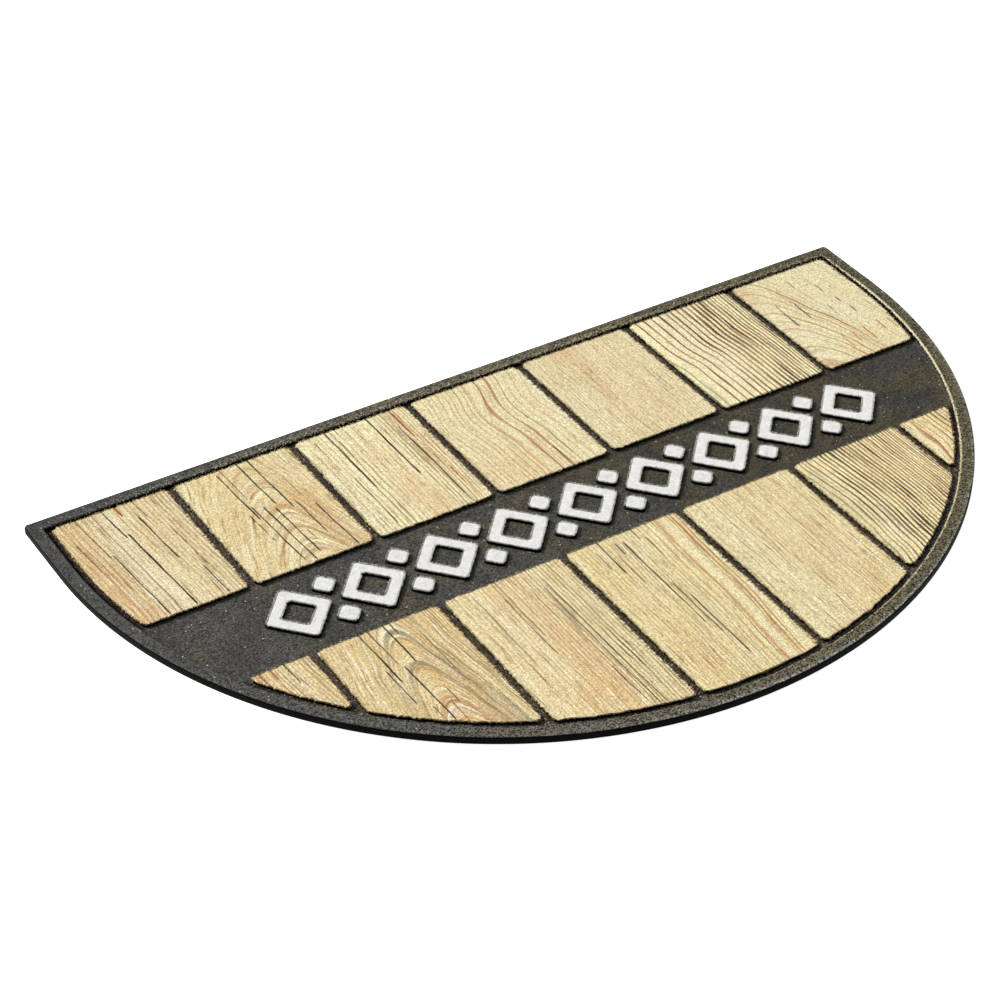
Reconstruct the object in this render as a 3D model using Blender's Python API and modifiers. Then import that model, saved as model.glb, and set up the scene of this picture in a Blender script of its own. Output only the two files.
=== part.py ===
"""Half-moon outdoor doormat, in metres with +Z up.

A moulded rubber base with a raised rim carries two rows of flocked pile fields, printed as wood planks.
Between them runs a bare band with white pile lozenges. The straight edge faces +Y and the arc faces -Y.
The origin is under the middle of the mat, on the floor.
"""

import math

import bmesh
import bpy
import numpy as np

# The mat seen from above
LENGTH = 0.750
DEPTH = 0.440
CORNER_RADIUS = 0.003
RIM_WIDTH = 0.012
RIM_INNER_CORNER = 0.002
FIELD_INSET = 0.0165

# Heights above the floor
GROUND_TOP = 0.0040
FIELD_TOP = 0.0052
RIM_TOP = 0.0064
PILE_GAP = 0.0003
PILE_TOP = 0.0068
EDGE_ROUND = 0.0007
EDGE_STEPS = 2

# The two rows of planks, measured from the straight edge
PLANK_COUNT = 7
PLANK_PITCH = 0.1045
GROOVE = 0.0074
PLANK_CORNER = 0.0035
TIP_CORNER = 0.0020
BAND_BACK = 0.1514
BAND_FRONT = 0.2426

# The white lozenges on the band: rings along its middle, and small ones above and below the gaps
RING_COUNT = 9
RING_PITCH = 0.062
RING_HALF_WIDTH = 0.027
RING_HALF_HEIGHT = 0.030
RING_STROKE = 0.009
SMALL_HALF_WIDTH = 0.0099
SMALL_HALF_HEIGHT = 0.0110
LOZENGE_CORNER = 0.0015

# Fineness of the round stretches
ARC_POINTS = 121
CORNER_STEP = math.radians(18)
SHORTEST_STEP = 0.0002
WELD_DISTANCE = 0.00001
FLAT_ANGLE = math.radians(0.1)
SHARP_ANGLE = math.radians(60)
CUTTER_SPARE = 0.002

# Linear colours of the rubber, the white pile and the wood tones of the print, and how matt they are
RUBBER_ROUGHNESS = 0.75
PILE_ROUGHNESS = 0.9
RUBBER = (0.060, 0.056, 0.044)
WHITE = (0.80, 0.79, 0.75)
CREAM = (0.76, 0.63, 0.38)
STRAW = (0.72, 0.53, 0.27)
HONEY = (0.66, 0.43, 0.19)
RUSSET = (0.50, 0.27, 0.12)
BACK_TONES = (HONEY, STRAW, HONEY, CREAM, CREAM, RUSSET, CREAM)
FRONT_TONES = (HONEY, HONEY, HONEY, STRAW, CREAM, HONEY, HONEY)

STRAIGHT_EDGE_Y = DEPTH / 2
ARC_CENTRE_Y = (LENGTH - DEPTH) / 2


def half_moon(inset):
    """The mat's outline moved inwards, anticlockwise: half a circle, two short sides, the straight edge."""
    radius = LENGTH / 2 - inset
    edge = STRAIGHT_EDGE_Y - inset
    turn = np.linspace(math.pi, 2 * math.pi, ARC_POINTS)
    arc = np.column_stack([radius * np.cos(turn), ARC_CENTRE_Y + radius * np.sin(turn)])
    return np.vstack([arc, [(radius, edge), (-radius, edge)]])


def trimmed(outline, direction, limit):
    """The part of a convex outline that reaches no further than a limit in a direction."""
    reach = outline @ np.array(direction) - limit
    kept = []
    for here, there, a, b in zip(outline, np.roll(outline, -1, axis=0), reach, np.roll(reach, -1)):
        if a <= 0:
            kept.append(here)
        if (a < 0 < b) or (b < 0 < a):
            kept.append(here + (there - here) * a / (a - b))
    return np.array(kept)


def without_short_steps(outline):
    """The outline without the points that lie almost on the one before."""
    step = np.linalg.norm(outline - np.roll(outline, 1, axis=0), axis=1)
    return outline[step > SHORTEST_STEP]


def grown(outline, radius):
    """A convex anticlockwise outline moved outwards, with an arc of that radius round each corner."""
    outline = without_short_steps(outline)
    before = outline - np.roll(outline, 1, axis=0)
    after = np.roll(outline, -1, axis=0) - outline
    first = np.arctan2(-before[:, 0], before[:, 1])
    turn = np.arctan2(-after[:, 0], after[:, 1]) - first
    turn = (turn + math.pi) % (2 * math.pi) - math.pi
    points = []
    for corner, start, sweep in zip(outline, first, turn):
        steps = math.ceil(sweep / CORNER_STEP)
        if sweep < CORNER_STEP / 2:
            angles = np.array([start + sweep / 2])
        else:
            angles = start + sweep * np.linspace(0, 1, steps + 1)
        points.append(corner + radius * np.column_stack([np.cos(angles), np.sin(angles)]))
    return np.vstack(points)


def rounded_half_moon(inset, radius):
    """The mat's outline moved inwards, with its two corners rounded."""
    return grown(half_moon(inset + radius), radius)


def plank_outline(index, back, front, corner):
    """A plank between two distances from the straight edge, cut to the mat's shape, with rounded corners."""
    left = (index - PLANK_COUNT / 2) * PLANK_PITCH + GROOVE / 2 + corner
    right = (index + 1 - PLANK_COUNT / 2) * PLANK_PITCH - GROOVE / 2 - corner
    outline = half_moon(FIELD_INSET + corner)
    outline = trimmed(outline, (0, 1), STRAIGHT_EDGE_Y - back - corner)
    outline = trimmed(outline, (0, -1), front - STRAIGHT_EDGE_Y - corner)
    if index > 0:
        outline = trimmed(outline, (-1, 0), -left)
    if index < PLANK_COUNT - 1:
        outline = trimmed(outline, (1, 0), right)
    return grown(outline, corner)


def lozenge_outline(half_width, half_height):
    """An upright lozenge about the origin with rounded corners, whose sides lie on the sharp one's."""
    slant = math.hypot(half_width, half_height)
    shrink = 1 - LOZENGE_CORNER * slant / (half_width * half_height)
    corners = [(0, -half_height), (half_width, 0), (0, half_height), (-half_width, 0)]
    return grown(np.array(corners) * shrink, LOZENGE_CORNER)


def ring_outlines():
    """A lozenge and the lozenge cut out of it, which leave a stroke of even width."""
    slant = math.hypot(RING_HALF_WIDTH, RING_HALF_HEIGHT)
    shrink = 1 - RING_STROKE * slant / (RING_HALF_WIDTH * RING_HALF_HEIGHT)
    outer = lozenge_outline(RING_HALF_WIDTH, RING_HALF_HEIGHT)
    inner = lozenge_outline(RING_HALF_WIDTH * shrink, RING_HALF_HEIGHT * shrink)
    return [outer, inner]


def lozenge_places():
    """Where the rings and the small lozenges stand: name and centre. The small ones' outer tips are level
    with the rings'."""
    band_y = STRAIGHT_EDGE_Y - (BAND_BACK + BAND_FRONT) / 2
    first_x = -(RING_COUNT - 1) / 2 * RING_PITCH
    rings = []
    for index in range(RING_COUNT):
        rings.append((f"lozenge_ring_{index + 1}", (first_x + index * RING_PITCH, band_y)))
    small = []
    rise = RING_HALF_HEIGHT - SMALL_HALF_HEIGHT
    for row, offset in (("back", rise), ("front", -rise)):
        for index in range(RING_COUNT - 1):
            centre = (first_x + (index + 0.5) * RING_PITCH, band_y + offset)
            small.append((f"small_lozenge_{row}_{index + 1}", centre))
    return rings, small


def material(name, colour, roughness):
    """A plain Principled material."""
    made = bpy.data.materials.new(name)
    made.use_nodes = True
    shader = made.node_tree.nodes["Principled BSDF"]
    shader.inputs["Base Color"].default_value = (*colour, 1)
    shader.inputs["Roughness"].default_value = roughness
    shader.inputs["Metallic"].default_value = 0.0
    return made


def slab(name, outlines, thickness, surface=None):
    """The mesh of a flat solid that stands on z = 0: filled outlines, where one inside another is a hole."""
    curve = bpy.data.curves.new(name, "CURVE")
    curve.dimensions = "2D"
    curve.fill_mode = "BOTH"
    curve.extrude = thickness / 2
    for outline in outlines:
        spline = curve.splines.new("POLY")
        spline.points.add(len(outline) - 1)
        spline.use_cyclic_u = True
        for point, (x, y) in zip(spline.points, outline):
            point.co = (x, y, 0, 1)
    drawn = bpy.data.objects.new(name + "_outline", curve)
    bpy.context.scene.collection.objects.link(drawn)
    graph = bpy.context.evaluated_depsgraph_get()
    mesh = bpy.data.meshes.new_from_object(drawn.evaluated_get(graph))
    bpy.data.objects.remove(drawn)
    bpy.data.curves.remove(curve)
    edit = bmesh.new()
    edit.from_mesh(mesh)
    bmesh.ops.remove_doubles(edit, verts=edit.verts, dist=WELD_DISTANCE)
    bmesh.ops.dissolve_limit(edit, angle_limit=FLAT_ANGLE, verts=edit.verts, edges=edit.edges)
    bmesh.ops.translate(edit, verts=edit.verts, vec=(0, 0, thickness / 2))
    edit.to_mesh(mesh)
    edit.free()
    mesh.name = name
    if surface:
        mesh.materials.append(surface)
    return mesh


def placed(name, mesh, location, collection, parent):
    """An object of a mesh at a place, under the mat's empty."""
    made = bpy.data.objects.new(name, mesh)
    made.location = location
    made.parent = parent
    collection.objects.link(made)
    return made


def cutter(name, outlines, low, high, collection, parent):
    """A flat solid that only shapes another: it stays out of the render."""
    made = placed(name, slab(name, outlines, high - low), (0, 0, low), collection, parent)
    made.hide_render = True
    made.display_type = "WIRE"
    return made


def boolean(target, name, operation, other):
    """A Boolean modifier that cuts or joins another object."""
    modifier = target.modifiers.new(name, "BOOLEAN")
    modifier.operation = operation
    modifier.solver = "EXACT"
    modifier.object = other


def rubber_base(field_outlines, parts, cutters, mat):
    """The moulded sheet: its ground is sunk inside the rim, and the fields under the pile stand up."""
    rubber = material("rubber", RUBBER, RUBBER_ROUGHNESS)
    sheet = slab("rubber_base", [rounded_half_moon(0, CORNER_RADIUS)], RIM_TOP, rubber)
    base = placed("rubber_base", sheet, (0, 0, 0), parts, mat)
    inner = rounded_half_moon(RIM_WIDTH, RIM_INNER_CORNER)
    sunk = cutter("sunk_ground", [inner], GROUND_TOP, RIM_TOP + CUTTER_SPARE, cutters, mat)
    raised = cutter("raised_fields", field_outlines, GROUND_TOP / 2, FIELD_TOP, cutters, mat)
    boolean(base, "sink the ground", "DIFFERENCE", sunk)
    edges = base.modifiers.new("soften the edges", "BEVEL")
    edges.limit_method = "ANGLE"
    edges.angle_limit = SHARP_ANGLE
    edges.width = EDGE_ROUND
    edges.segments = EDGE_STEPS
    edges.use_clamp_overlap = False
    boolean(base, "raise the fields", "UNION", raised)


def plank_rows():
    """Name, outline and colour of each plank, row by row from the left."""
    planks = []
    for index in range(PLANK_COUNT):
        outline = plank_outline(index, FIELD_INSET, BAND_BACK, PLANK_CORNER)
        planks.append((f"plank_back_{index + 1}", outline, BACK_TONES[index]))
    for index in range(PLANK_COUNT):
        at_the_end = index in (0, PLANK_COUNT - 1)
        outline = plank_outline(index, BAND_FRONT, DEPTH, TIP_CORNER if at_the_end else PLANK_CORNER)
        planks.append((f"plank_front_{index + 1}", outline, FRONT_TONES[index]))
    return planks


def build():
    """Clears the scene and makes the mat: the base, the planks of pile, and the lozenges of white pile."""
    for old in list(bpy.data.objects):
        bpy.data.objects.remove(old)
    parts = bpy.data.collections.new("half_moon_doormat")
    cutters = bpy.data.collections.new("cutters")
    bpy.context.scene.collection.children.link(parts)
    bpy.context.scene.collection.children.link(cutters)
    mat = bpy.data.objects.new("half_moon_doormat", None)
    parts.objects.link(mat)

    pile_foot = FIELD_TOP + PILE_GAP
    pile_height = PILE_TOP - pile_foot
    field_outlines = []
    for name, outline, colour in plank_rows():
        field_outlines.append(outline)
        pile = material(name + "_pile", colour, PILE_ROUGHNESS)
        placed(name, slab(name, [outline], pile_height, pile), (0, 0, pile_foot), parts, mat)

    white_pile = material("white_pile", WHITE, PILE_ROUGHNESS)
    rings, small = lozenge_places()
    small_outlines = [lozenge_outline(SMALL_HALF_WIDTH, SMALL_HALF_HEIGHT)]
    for kind, outlines, places in (("ring", ring_outlines(), rings), ("small", small_outlines, small)):
        lozenge = slab(kind + "_lozenge", outlines, pile_height, white_pile)
        for name, (x, y) in places:
            field_outlines.extend(outline + (x, y) for outline in outlines)
            placed(name, lozenge, (x, y, pile_foot), parts, mat)

    rubber_base(field_outlines, parts, cutters, mat)


build()
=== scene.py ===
"""Half-moon doormat: a moulded rubber tray, flocked planks with a wood print, white lozenges, and the studio."""

import math

import bpy
import numpy as np
from mathutils import Matrix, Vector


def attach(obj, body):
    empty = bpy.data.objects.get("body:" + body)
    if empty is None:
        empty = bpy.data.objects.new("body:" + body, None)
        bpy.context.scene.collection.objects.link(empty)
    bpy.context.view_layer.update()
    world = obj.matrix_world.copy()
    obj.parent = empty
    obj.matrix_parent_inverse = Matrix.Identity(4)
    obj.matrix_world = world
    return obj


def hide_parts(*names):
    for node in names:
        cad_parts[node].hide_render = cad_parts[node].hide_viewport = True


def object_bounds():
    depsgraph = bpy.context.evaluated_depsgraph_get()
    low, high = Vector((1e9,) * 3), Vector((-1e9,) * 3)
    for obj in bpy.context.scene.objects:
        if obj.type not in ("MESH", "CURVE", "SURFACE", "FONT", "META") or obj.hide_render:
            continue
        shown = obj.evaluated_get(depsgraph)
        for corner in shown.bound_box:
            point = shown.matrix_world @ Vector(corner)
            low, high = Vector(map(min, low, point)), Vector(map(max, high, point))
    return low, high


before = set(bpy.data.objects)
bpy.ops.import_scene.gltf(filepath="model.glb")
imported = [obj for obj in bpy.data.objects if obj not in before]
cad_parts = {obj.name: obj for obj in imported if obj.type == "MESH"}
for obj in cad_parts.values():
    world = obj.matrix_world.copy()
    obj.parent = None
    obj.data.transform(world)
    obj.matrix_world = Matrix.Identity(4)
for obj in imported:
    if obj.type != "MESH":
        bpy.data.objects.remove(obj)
cad_low, cad_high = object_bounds()


# The camera. It stands in front of the mat and to its left, looking down on the whole half-moon through a long
# lens, so the far edge is hardly smaller than the near one.
CAMERA_AZIMUTH = math.radians(-32.1215)
CAMERA_ELEVATION = math.radians(37.4690)
CAMERA_ROLL = math.radians(0.3158)
CAMERA_DISTANCE = 2.05698
CAMERA_TARGET = np.array((-0.0504, 0.0672, 0.0))
LENS = 97.33
SENSOR = 36.0


def camera_frame(azimuth, elevation, roll, target, distance):
    """The camera's matrix: its back points from the target at the azimuth and elevation, its sides turn by the roll."""
    back = np.array((
        math.sin(azimuth) * math.cos(elevation),
        -math.cos(azimuth) * math.cos(elevation),
        math.sin(elevation),
    ))
    level = np.array((math.cos(azimuth), math.sin(azimuth), 0.0))
    upright = np.cross(back, level)
    matrix = np.eye(4)
    matrix[:3, 0] = level * math.cos(roll) + upright * math.sin(roll)
    matrix[:3, 1] = upright * math.cos(roll) - level * math.sin(roll)
    matrix[:3, 2] = back
    matrix[:3, 3] = target + back * distance
    return Matrix(matrix.tolist())


camera_data = bpy.data.cameras.new("camera")
camera_data.lens = LENS
camera_data.sensor_width = SENSOR
camera = bpy.data.objects.new("camera", camera_data)
camera.matrix_world = camera_frame(CAMERA_AZIMUTH, CAMERA_ELEVATION, CAMERA_ROLL, CAMERA_TARGET, CAMERA_DISTANCE)
bpy.context.scene.collection.objects.link(camera)
bpy.context.scene.camera = camera


# The rubber tray: one moulding of black recycled rubber. Its rim is a flat band with a rolled lip inside, round a
# sunk ground. The mould leaves a fine pebble on it, and dust dulls the faces that look up, but the walls and the
# gutter are kept nearly bare and black as painted shade, and the lip carries a pale painted highlight and is smoother.
STRAIGHT_EDGE_Y = cad_high.y
HALF_LENGTH = cad_high.x
ARC_CENTRE_Y = cad_low.y + HALF_LENGTH
OUTER_CORNER = 0.0030
INNER_CORNER = 0.0020
RIM_WIDTH = 0.012
RIM_TOP = 0.0064
GROUND_TOP = 0.0040
# Each row of the moulding's profile: inset from the outline, height, and how much dust lies there. Little or no
# dust on the walls and in the gutter paints their shade black, and over 1 at the rim's outer edge it paints a
# highlight.
TRAY_PROFILE = np.array((
    (0.02000, 0.00000, 0.3),
    (0.00100, 0.00000, 0.2),
    (0.00045, 0.00010, 0.0),
    (0.00010, 0.00040, 0.0),
    (0.00000, 0.00100, 0.0),
    (0.00000, 0.00300, 0.0),
    (0.00004, 0.00500, 0.0),
    (0.00012, 0.00565, 0.0),
    (0.00034, 0.00608, 0.0),
    (0.00068, 0.00630, 0.5),
    (0.00110, 0.00638, 1.4),
    (0.00180, 0.00640, 1.4),
    (0.00300, 0.00639, 1.2),
    (0.00450, 0.00636, 1.0),
    (0.00620, 0.00634, 1.0),
    (0.00800, 0.00635, 1.0),
    (0.00900, 0.00640, 1.0),
    (0.00950, 0.00650, 1.0),
    (0.00990, 0.00655, 1.0),
    (0.01035, 0.00650, 1.0),
    (0.01075, 0.00632, 0.9),
    (0.01110, 0.00607, 0.8),
    (0.01138, 0.00578, 0.4),
    (0.01165, 0.00545, 0.0),
    (0.01182, 0.00500, 0.0),
    (0.01192, 0.00450, 0.0),
    (0.01215, 0.00416, 0.0),
    (0.01260, 0.00402, 0.0),
    (0.01400, 0.00400, 0.15),
    (0.01700, 0.00400, 0.62),
))
# How many points of an outline lie on each side, round each corner, on the straight edge and on the arc.
SIDE_POINTS, CORNER_POINTS, EDGE_POINTS, ARC_POINTS = 22, 8, 240, 560
# The underside and the ground are drawn in to the middle by way of two smaller loops.
CENTRE_SHARES = (0.30, 0.62)
UNDER_DUST = 0.3
GROUND_DUST = 0.62
SWELL_HEIGHT = 0.00005
BAND_BACK = 0.1514
BAND_FRONT = 0.2426
BAND_MIDDLE_Y = STRAIGHT_EDGE_Y - (BAND_BACK + BAND_FRONT) / 2
BAND_HALF_WIDTH = (BAND_FRONT - BAND_BACK) / 2
# The gutter between the rim's wall and the planks, as insets from the outline.
GUTTER_START = 0.0114
GUTTER_END = 0.0165


def half_moon_loop(inset, corner):
    """The half-moon's outline moved inward, anticlockwise: its right side, rounded corner, straight edge, rounded
    corner and left side, then half a circle about the arc's centre."""
    half = HALF_LENGTH - inset
    edge = STRAIGHT_EDGE_Y - inset
    rise = np.linspace(ARC_CENTRE_Y, edge - corner, SIDE_POINTS, endpoint=False)
    fall = np.linspace(edge - corner, ARC_CENTRE_Y, SIDE_POINTS, endpoint=False)
    quarter = np.linspace(0, math.pi / 2, CORNER_POINTS, endpoint=False)
    run = np.linspace(half - corner, corner - half, EDGE_POINTS, endpoint=False)
    turn = np.linspace(math.pi, 2 * math.pi, ARC_POINTS, endpoint=False)
    across = np.concatenate((
        np.full(rise.size, half),
        half - corner + corner * np.cos(quarter),
        run,
        corner - half - corner * np.sin(quarter),
        np.full(fall.size, -half),
        half * np.cos(turn),
    ))
    along = np.concatenate((
        rise,
        edge - corner + corner * np.sin(quarter),
        np.full(run.size, edge),
        edge - corner + corner * np.cos(quarter),
        fall,
        ARC_CENTRE_Y + half * np.sin(turn),
    ))
    return np.stack((across, along), axis=-1)


def skin(loops):
    """Joins a stack of loops, (rows, points, 3), into one closed surface: quads between neighbouring loops, wrapped
    round, and a fan of triangles from the middle of the first loop and of the last. Loops run anticlockwise and the
    stack climbs from the underside round the outside to the top, so that every face looks outward."""
    rows, count, _ = loops.shape
    middles = loops[(0, -1),].mean(axis=1)
    points = np.concatenate((loops.reshape(-1, 3), middles))
    here = np.arange(count)
    after = np.roll(here, -1)
    low = (np.arange(rows - 1) * count)[:, None]
    quads = np.stack((low + here, low + after, low + count + after, low + count + here), axis=-1)
    under = np.stack((np.full(count, rows * count), after, here), axis=-1)
    last = (rows - 1) * count
    over = np.stack((last + here, last + after, np.full(count, rows * count + 1)), axis=-1)
    return points, quads.reshape(-1, 4).tolist() + under.tolist() + over.tolist()


def new_piece(name, points, faces, finish, slot):
    """Puts an array of points and a list of faces into a smooth mesh with one finish, riding on the mat's one body."""
    mesh = bpy.data.meshes.new(name)
    mesh.from_pydata(points.tolist(), [], faces)
    mesh.shade_smooth()
    mesh.materials.append(finish)
    piece = bpy.data.objects.new(name, mesh)
    bpy.context.scene.collection.objects.link(piece)
    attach(piece, "root")
    return piece


def store(piece, name, kind, values):
    """Keeps one value for each point of the piece as a named attribute: FLOAT, FLOAT_VECTOR or FLOAT_COLOR."""
    field = {"FLOAT": "value", "FLOAT_VECTOR": "vector", "FLOAT_COLOR": "color"}[kind]
    attribute = piece.data.attributes.new(name, kind, "POINT")
    attribute.data.foreach_set(field, np.ascontiguousarray(values, dtype=np.float32).ravel())


def paint(red, green, blue):
    """A screen colour from 0 to 255 as linear light: its share of 255 to the power of 2.2."""
    return tuple((channel / 255) ** 2.2 for channel in (red, green, blue)) + (1.0,)


def add_node(tree, kind, inputs=None, **settings):
    """Adds a node with its settings and inputs. An input that is a socket is linked, and a value is set."""
    made = tree.nodes.new(kind)
    for name, value in settings.items():
        setattr(made, name, value)
    for key, value in (inputs or {}).items():
        if isinstance(value, bpy.types.NodeSocket):
            tree.links.new(value, made.inputs[key])
        else:
            made.inputs[key].default_value = value
    return made


def calculate(tree, operation, *values, clamp=False):
    """One step of arithmetic on sockets or numbers."""
    inputs = dict(enumerate(values))
    return add_node(tree, "ShaderNodeMath", inputs, operation=operation, use_clamp=clamp).outputs[0]


def product(tree, first, *others):
    """Sockets or numbers multiplied together, one after another."""
    for other in others:
        first = calculate(tree, "MULTIPLY", first, other)
    return first


def own_value(tree, name):
    """The outputs of the piece's own attribute of that name."""
    return add_node(tree, "ShaderNodeAttribute", attribute_name=name).outputs


def cell_pattern(tree, place, scale):
    """Cells with so many a metre: the distance from each cell's middle, and three random numbers for the cell."""
    cells = add_node(tree, "ShaderNodeTexVoronoi", {"Vector": place, "Scale": scale}).outputs
    return cells["Distance"], add_node(tree, "ShaderNodeSeparateColor", {"Color": cells["Color"]}).outputs


def blend_colours(tree, share, first, second):
    """The first colour turning into the second as the share goes from 0 to 1."""
    inputs = {0: share, 6: first, 7: second}
    return add_node(tree, "ShaderNodeMix", inputs, data_type="RGBA").outputs[2]


def remap(tree, value, low, high, start=0.0, end=1.0):
    """A smooth step from start, where the value is at low or under, to end, where it is at high or over."""
    inputs = {0: value, 1: low, 2: high, 3: start, 4: end}
    return add_node(tree, "ShaderNodeMapRange", inputs, interpolation_type="SMOOTHSTEP").outputs[0]


def grain_noise(tree, place, scale, detail=2.0, roughness=0.5):
    """Cloudy noise from 0 to 1 with so many clouds a metre."""
    inputs = {"Vector": place, "Scale": scale, "Detail": detail, "Roughness": roughness}
    return add_node(tree, "ShaderNodeTexNoise", inputs).outputs["Fac"]


def new_finish(name):
    """An empty material with its output node, and the socket of the piece's own coordinates in metres."""
    finish = bpy.data.materials.new(name)
    finish.use_nodes = True
    finish.node_tree.nodes.clear()
    place = add_node(finish.node_tree, "ShaderNodeTexCoord").outputs["Object"]
    return finish, finish.node_tree, place


def put_out(tree, shader):
    """Links a shader to the material's surface."""
    output = add_node(tree, "ShaderNodeOutputMaterial")
    tree.links.new(shader.outputs[0], output.inputs["Surface"])


def rubber_finish():
    """Black rubber under a pale olive film of fine dirt, bluer to the left and in clouds on the ground, brown in the
    grooves, and silver on the rim's outer edge as a painted highlight. The film follows the piece's own attribute,
    which carries painted shade and highlight as well, a cloudy mottle and the mould's pebble, whose small cells each
    catch more or less of it, and in the grooves it is a fifth thinner, as painted shade. A few cells hold a pale
    fleck, more of them towards the rim's edge. Some cells of the lip are painted pale as a highlight and made
    smoother, the share that the piece's own attribute for it gives. The underside's pebble is coarser."""
    finish, tree, place = new_finish("moulded_rubber")
    dust_and_painted_light = own_value(tree, "dust_and_painted_light")["Fac"]
    where = add_node(tree, "ShaderNodeSeparateXYZ", {0: place}).outputs
    from_band = calculate(tree, "ABSOLUTE", calculate(tree, "SUBTRACT", where[1], BAND_MIDDLE_Y))
    beyond_band = remap(tree, from_band, BAND_HALF_WIDTH, BAND_HALF_WIDTH + 0.003)
    sunk = remap(tree, where[2], 0.0045, 0.0055, 1.0, 0.0)
    # In the sunk ground beyond the band, the grooves and the gutter, the film is a fifth thinner, as painted shade, and
    # browner.
    groove = product(tree, beyond_band, sunk, remap(tree, dust_and_painted_light, 0.72, 0.95, 1.0, 0.0))
    dust_and_painted_light = product(tree, dust_and_painted_light, calculate(tree, "MULTIPLY_ADD", groove, -0.22, 1.0))

    from_cell, chance = cell_pattern(tree, place, 1150.0)
    mottle = remap(tree, grain_noise(tree, place, 34.0, 5.0, 0.6), 0.30, 0.70, 0.84, 1.14)
    fine = remap(tree, grain_noise(tree, place, 760.0, 3.0, 0.7), 0.30, 0.70, 0.80, 1.22)
    depth = calculate(tree, "MULTIPLY_ADD", groove, 0.6, remap(tree, dust_and_painted_light, 0.45, 1.0, 0.70, 1.45))
    flicker = calculate(tree, "SUBTRACT", remap(tree, chance[0], 0.0, 1.0, 0.0, 2.0), 1.0)
    speckle = calculate(tree, "MULTIPLY_ADD", flicker, depth, 1.0)
    film = product(tree, mottle, fine, speckle, calculate(tree, "MINIMUM", dust_and_painted_light, 1.0))
    film = calculate(tree, "MULTIPLY", film, 0.50, clamp=True)

    cloud = calculate(tree, "SUBTRACT", grain_noise(tree, place, 14.0, 4.0, 0.6), 0.5)
    cloud = product(tree, cloud, calculate(tree, "MULTIPLY_ADD", sunk, 0.9, 0.5))
    cool = product(tree, sunk, remap(tree, grain_noise(tree, place, 30.0, 4.0, 0.6), 0.46, 0.60, 0.15, 1.0))
    warmth = remap(tree, calculate(tree, "ADD", where[0], cloud), -0.36, 0.12)
    warmth = product(tree, warmth, calculate(tree, "SUBTRACT", 1.0, cool))
    film = product(tree, film, calculate(tree, "MULTIPLY_ADD", cool, -0.14, 1.04))
    dusty = blend_colours(tree, warmth, paint(116, 114, 109), paint(128, 120, 91))
    dusty = blend_colours(tree, groove, dusty, paint(132, 110, 90))
    # Painted highlight: where the dust is over 1, on the rim's outer edge, it turns silver.
    dusty = blend_colours(tree, remap(tree, dust_and_painted_light, 0.98, 1.35), dusty, paint(158, 158, 150))
    colour = blend_colours(tree, film, paint(8, 8, 7), dusty)

    rare = calculate(tree, "MULTIPLY_ADD", groove, -0.016, remap(tree, dust_and_painted_light, 1.0, 1.4, 0.998, 0.88))
    fleck = calculate(tree, "GREATER_THAN", chance[1], rare)
    fleck = product(tree, fleck, remap(tree, dust_and_painted_light, 0.0, 0.7, 0.0, 0.80))
    colour = blend_colours(tree, fleck, colour, paint(214, 210, 200))
    # Painted highlight: a share of the lip's cells, from the piece's own attribute, turns pale; those cells are also
    # smoother.
    glint_and_polish = calculate(tree, "GREATER_THAN", product(tree, own_value(tree, "lip_glint")["Fac"], 1.05), chance[2])
    ragged = remap(tree, grain_noise(tree, place, 480.0, 3.0, 0.7), 0.36, 0.62, 0.60, 0.95)
    glint_and_polish = product(tree, glint_and_polish, ragged)
    colour = blend_colours(tree, glint_and_polish, colour, paint(222, 210, 172))

    under = remap(tree, where[2], 0.0002, 0.0008, 1.0, 0.0)
    relief = calculate(tree, "ADD", from_cell, grain_noise(tree, place, 700.0, 3.0, 0.6))
    relief = product(tree, relief, calculate(tree, "SUBTRACT", 1.0, under))
    from_pebble, _ = cell_pattern(tree, place, 170.0)
    relief = calculate(tree, "MULTIPLY_ADD", product(tree, from_pebble, under), -3.0, relief)
    bump = add_node(tree, "ShaderNodeBump", {"Height": relief, "Strength": 0.8, "Distance": 0.00026})
    shader = add_node(tree, "ShaderNodeBsdfPrincipled", {
        "Base Color": colour,
        "Roughness": calculate(tree, "MULTIPLY_ADD", glint_and_polish, -0.22, 0.55),
        "Specular IOR Level": remap(tree, dust_and_painted_light, 0.0, 1.0, 0.03, 0.40),
        "Normal": bump.outputs[0],
    })
    put_out(tree, shader)
    return finish


def tray_loops():
    """The moulding's rows: the profile carried round the half-moon, then the ground and the underside drawn in
    towards the middle. Heights ride on a faint swell, so that the rim's gloss wavers as on a real moulding."""
    insets, heights, _ = TRAY_PROFILE.T
    corners = np.interp(insets, (0.0, RIM_WIDTH), (OUTER_CORNER, INNER_CORNER))
    rows = [half_moon_loop(inset, corner) for inset, corner in zip(insets, corners)]
    under = [rows[0] * share for share in CENTRE_SHARES]
    over = [rows[-1] * share for share in CENTRE_SHARES[::-1]]
    flat = np.stack(under + rows + over)
    level = np.concatenate((np.zeros(2), heights, np.full(2, GROUND_TOP)))
    turn = np.linspace(0, 2 * math.pi, flat.shape[1], endpoint=False)
    swell = np.sin(23 * turn) + np.sin(41 * turn + 1.0) + np.sin(87 * turn + 2.0) + np.sin(131 * turn)
    lifted = np.clip((level - GROUND_TOP) / GROUND_TOP, 0, 1)[:, None]
    level = level[:, None] + SWELL_HEIGHT * lifted * swell
    return np.concatenate((flat, level[:, :, None]), axis=-1)


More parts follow.
